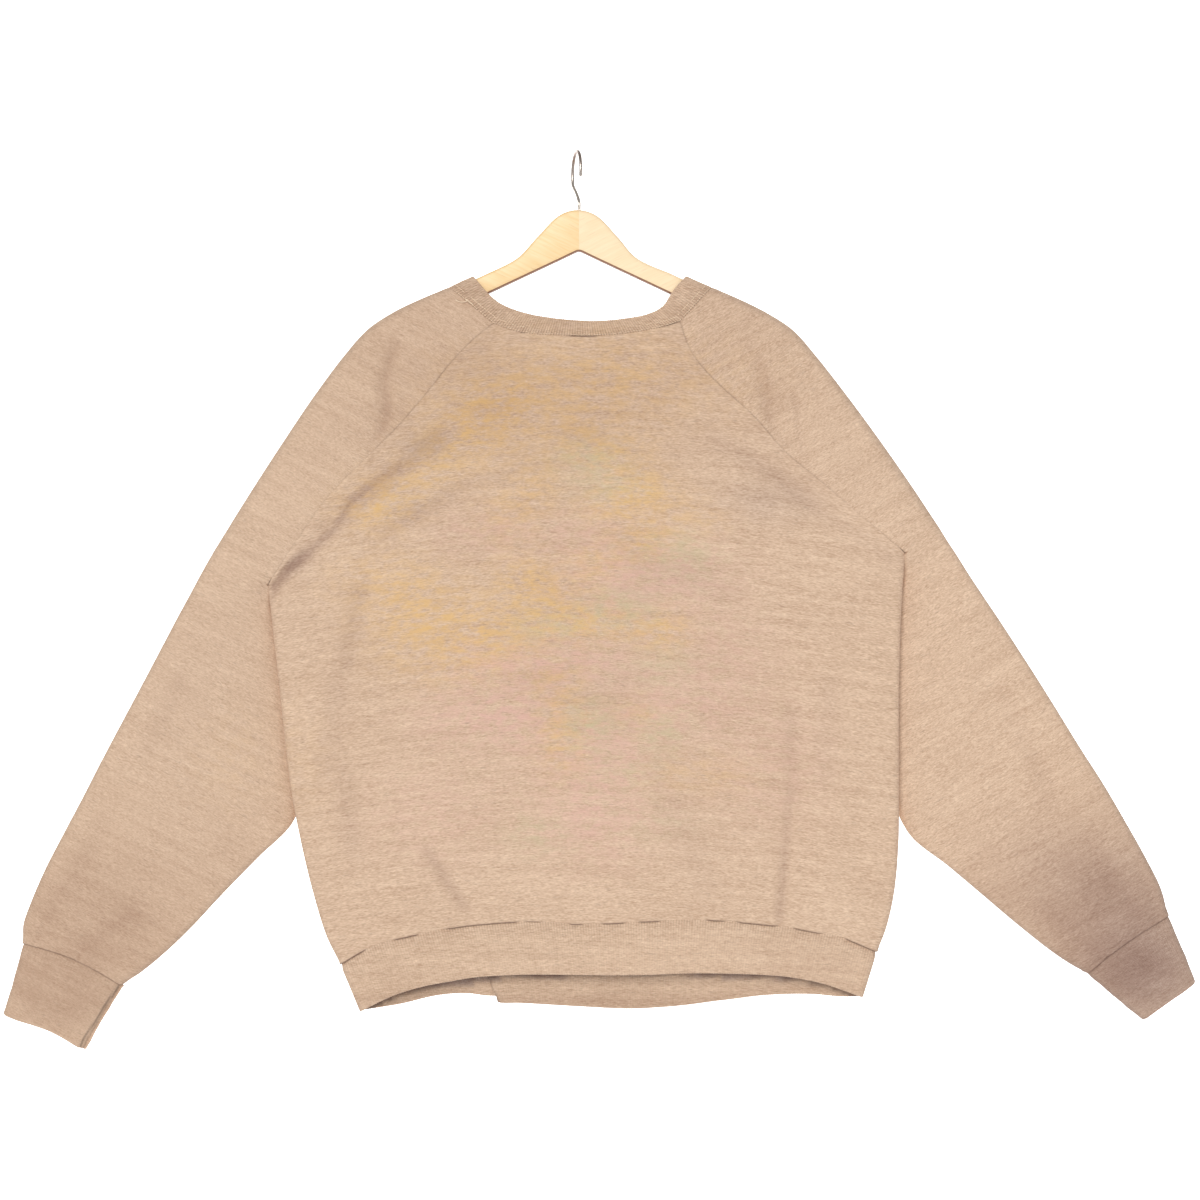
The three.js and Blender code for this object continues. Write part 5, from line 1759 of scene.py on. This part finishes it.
class SWEATSHIRT_OT_stitching(bpy.types.Operator):
    """Sews the two rows of pale stitches beside the collar's seam"""

    bl_idname = "sweatshirt.stitching"
    bl_label = "Stitching"

    def execute(self, context):
        cloth = context.scene.sweatshirt_cloth
        rows = SHEETS["collar"]
        seam, above = rows[0], rows[6]
        count = max(8, round(ring_length(seam) / (cloth.stitch_length / MM)))
        up = unit(above - seam)
        around = unit(np.roll(seam, -1, axis=0) - np.roll(seam, 1, axis=0))
        out = unit(np.cross(around, up)) * -1
        out *= np.where(np.sum(out * seam * np.array([0, 1, 0]), axis=1) < 0, -1, 1)[:, None]
        rng = np.random.default_rng(3)
        parts = []
        columns = len(seam)
        for row in STITCH_ROWS:
            for i in range(count):
                start = i * columns / count
                reach = row.share * columns / count
                slip = rng.uniform(-STITCH_WANDER, STITCH_WANDER)
                if abs(seam[int(start)][0]) < row.from_x or rng.uniform() < STITCHES_LOST:
                    continue
                points = []
                for share in (0, 0.25, 0.5, 0.75, 1):
                    j = int(start + reach * share) % columns
                    lift = 0.5 * math.sin(math.pi * share) + 0.1
                    points.append(seam[j] + up[j] * (row.place + slip * share) + out[j] * lift)
                parts.append(tube(points, row.thread * cloth.thread / MM / 2, 6))
        steps = np.linspace(0, 1, 60)
        loose = Line(LOOSE_THREAD).at(steps)
        loose[:, 1] = value_at(LOOSE_THREAD, "y", steps)
        parts.append(tube(loose, 0.5 * cloth.thread / MM, 6))
        thread = material_of("sewing_thread", lambda: thread_material(cloth))
        piece = joined_object("collar_stitches", parts, thread)
        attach(piece, "root")
        return {"FINISHED"}


# The middle of the picture, the way to the key light from there, and the places of the other two lamps
PICTURE_MIDDLE = (0.0245, 0.0, -0.469)
KEY_WAY = (-1.3, -4.3, 1.4)
FILL_PLACE = (1.2, -2.6, -0.9)
BACK_PLACE = (0.4, 2.6, 0.9)
BACK_SHARE = 6  # the back light has the fill light's power divided by this
WARM_LIGHT = (1.0, 0.985, 0.965)
COOL_LIGHT = (0.97, 0.985, 1.0)
WHITE_LIGHT = (1.0, 1.0, 1.0)


def aimed(name, light, location, target):
    lamp = bpy.data.objects.new(name, light)
    lamp.location = location
    lamp.rotation_euler = (Vector(target) - Vector(location)).to_track_quat("-Z", "Y").to_euler()
    bpy.context.scene.collection.objects.link(lamp)
    return lamp


def area_light(name, size, power, colour, location, target):
    light = bpy.data.lights.new(name, "AREA")
    light.shape, light.size, light.energy, light.color = "SQUARE", size, power, colour
    return aimed(name, light, location, target)


class SWEATSHIRT_OT_stage(bpy.types.Operator):
    """Makes the camera, the soft lights and the pale sweep behind and under the garment"""

    bl_idname = "sweatshirt.stage"
    bl_label = "Stage"

    def execute(self, context):
        stage = context.scene.sweatshirt_stage
        middle = Vector(PICTURE_MIDDLE)
        camera = bpy.data.cameras.new("camera")
        camera.sensor_width = 36.0
        camera.lens = camera.sensor_width * stage.distance / stage.width
        camera.clip_start, camera.clip_end = 0.05, 60.0
        viewer = bpy.data.objects.new("camera", camera)
        viewer.location = middle + Vector((0, -stage.distance, 0))
        viewer.rotation_euler = (math.radians(90), 0, 0)
        context.scene.collection.objects.link(viewer)
        context.scene.camera = viewer
        sun = bpy.data.lights.new("key_light", "SUN")
        sun.energy, sun.angle, sun.color = stage.key_strength, stage.key_softness, WARM_LIGHT
        aimed("key_light", sun, middle + Vector(KEY_WAY), middle)
        area_light("fill_light", 2.2, stage.fill_power, COOL_LIGHT, FILL_PLACE, middle)
        area_light("back_light", 2.0, stage.fill_power / BACK_SHARE, WHITE_LIGHT, BACK_PLACE, middle)
        self.make_sweep(stage)
        world = bpy.data.worlds.new("studio")
        world.use_nodes = True
        world.node_tree.nodes["Background"].inputs[0].default_value = (1, 1, 1, 1)
        world.node_tree.nodes["Background"].inputs[1].default_value = stage.world
        context.scene.world = world
        context.scene.view_settings.view_transform = "Standard"
        return {"FINISHED"}

    def make_sweep(self, stage):
        half_width, near_end, reach, radius, top = 9.0, -8.0, 5.2, 1.6, 5.0
        floor = -stage.floor_drop
        profile = [(near_end, floor), (reach - radius, floor)]
        for i in range(1, stage.sweep_steps + 1):
            angle = math.pi / 2 * i / stage.sweep_steps
            along, up = radius * math.sin(angle), radius * (1 - math.cos(angle))
            profile.append((reach - radius + along, floor + up))
        profile.append((reach, top))
        points = [(x, y, z) for y, z in profile for x in (-half_width, half_width)]
        faces = [(2 * i, 2 * i + 1, 2 * i + 3, 2 * i + 2) for i in range(len(profile) - 1)]
        mesh = bpy.data.meshes.new("backdrop")
        mesh.from_pydata(points, [], faces)
        mesh.polygons.foreach_set("use_smooth", np.ones(len(mesh.polygons), bool))
        r = Recipe("backdrop_paper")
        grain = r.noise(r.place, (30, 30, 30), 2, 0.5)
        colour = r.mix(r.spread(grain, 0.3, 0.7, 0, 1), (0.90, 0.90, 0.90, 1), (0.92, 0.92, 0.92, 1))
        depth = r.node("SeparateXYZ", Vector=r.place).outputs[1]
        mesh.materials.append(r.finish(
            Base_Color=colour, Roughness=1.0, Specular_IOR_Level=0.0,
            Emission_Color=(1, 1, 1, 1), Emission_Strength=r.spread(depth, 2.4, 3.6, 0.0, 1.0),
        ))
        sweep = bpy.data.objects.new("backdrop", mesh)
        bpy.context.scene.collection.objects.link(sweep)


class SWEATSHIRT_PT_panel(bpy.types.Panel):
    """Sizes and colours, and a button for each group of pieces"""

    bl_idname = "SWEATSHIRT_PT_panel"
    bl_label = "Sweatshirt"
    bl_space_type = "VIEW_3D"
    bl_region_type = "UI"
    bl_category = "Sweatshirt"

    def draw(self, context):
        for name in GROUPS:
            group = getattr(context.scene, name)
            box = self.layout.box()
            for key in group.__annotations__:
                box.prop(group, key)
        for operator in OPERATORS:
            self.layout.operator(operator.bl_idname)


OPERATORS = (
    SWEATSHIRT_OT_stage, SWEATSHIRT_OT_body, SWEATSHIRT_OT_sleeves, SWEATSHIRT_OT_collar,
    SWEATSHIRT_OT_hem_band, SWEATSHIRT_OT_cuffs, SWEATSHIRT_OT_stitching, SWEATSHIRT_OT_hanger,
    SWEATSHIRT_OT_hook,
)
GROUPS = {
    "sweatshirt_cloth": SweatshirtCloth,
    "sweatshirt_hanger": SweatshirtHanger,
    "sweatshirt_stage": SweatshirtStage,
}


def register():
    for kind in (*GROUPS.values(), *OPERATORS, SWEATSHIRT_PT_panel):
        bpy.utils.register_class(kind)
    for name, group in GROUPS.items():
        setattr(bpy.types.Scene, name, PointerProperty(type=group))


def unregister():
    for name in GROUPS:
        delattr(bpy.types.Scene, name)
    for kind in reversed((*GROUPS.values(), *OPERATORS, SWEATSHIRT_PT_panel)):
        bpy.utils.unregister_class(kind)


def main():
    register()
    for operator in OPERATORS:
        group, action = operator.bl_idname.split(".")
        getattr(getattr(bpy.ops, group), action)()


if __name__ == "__main__":
    main()
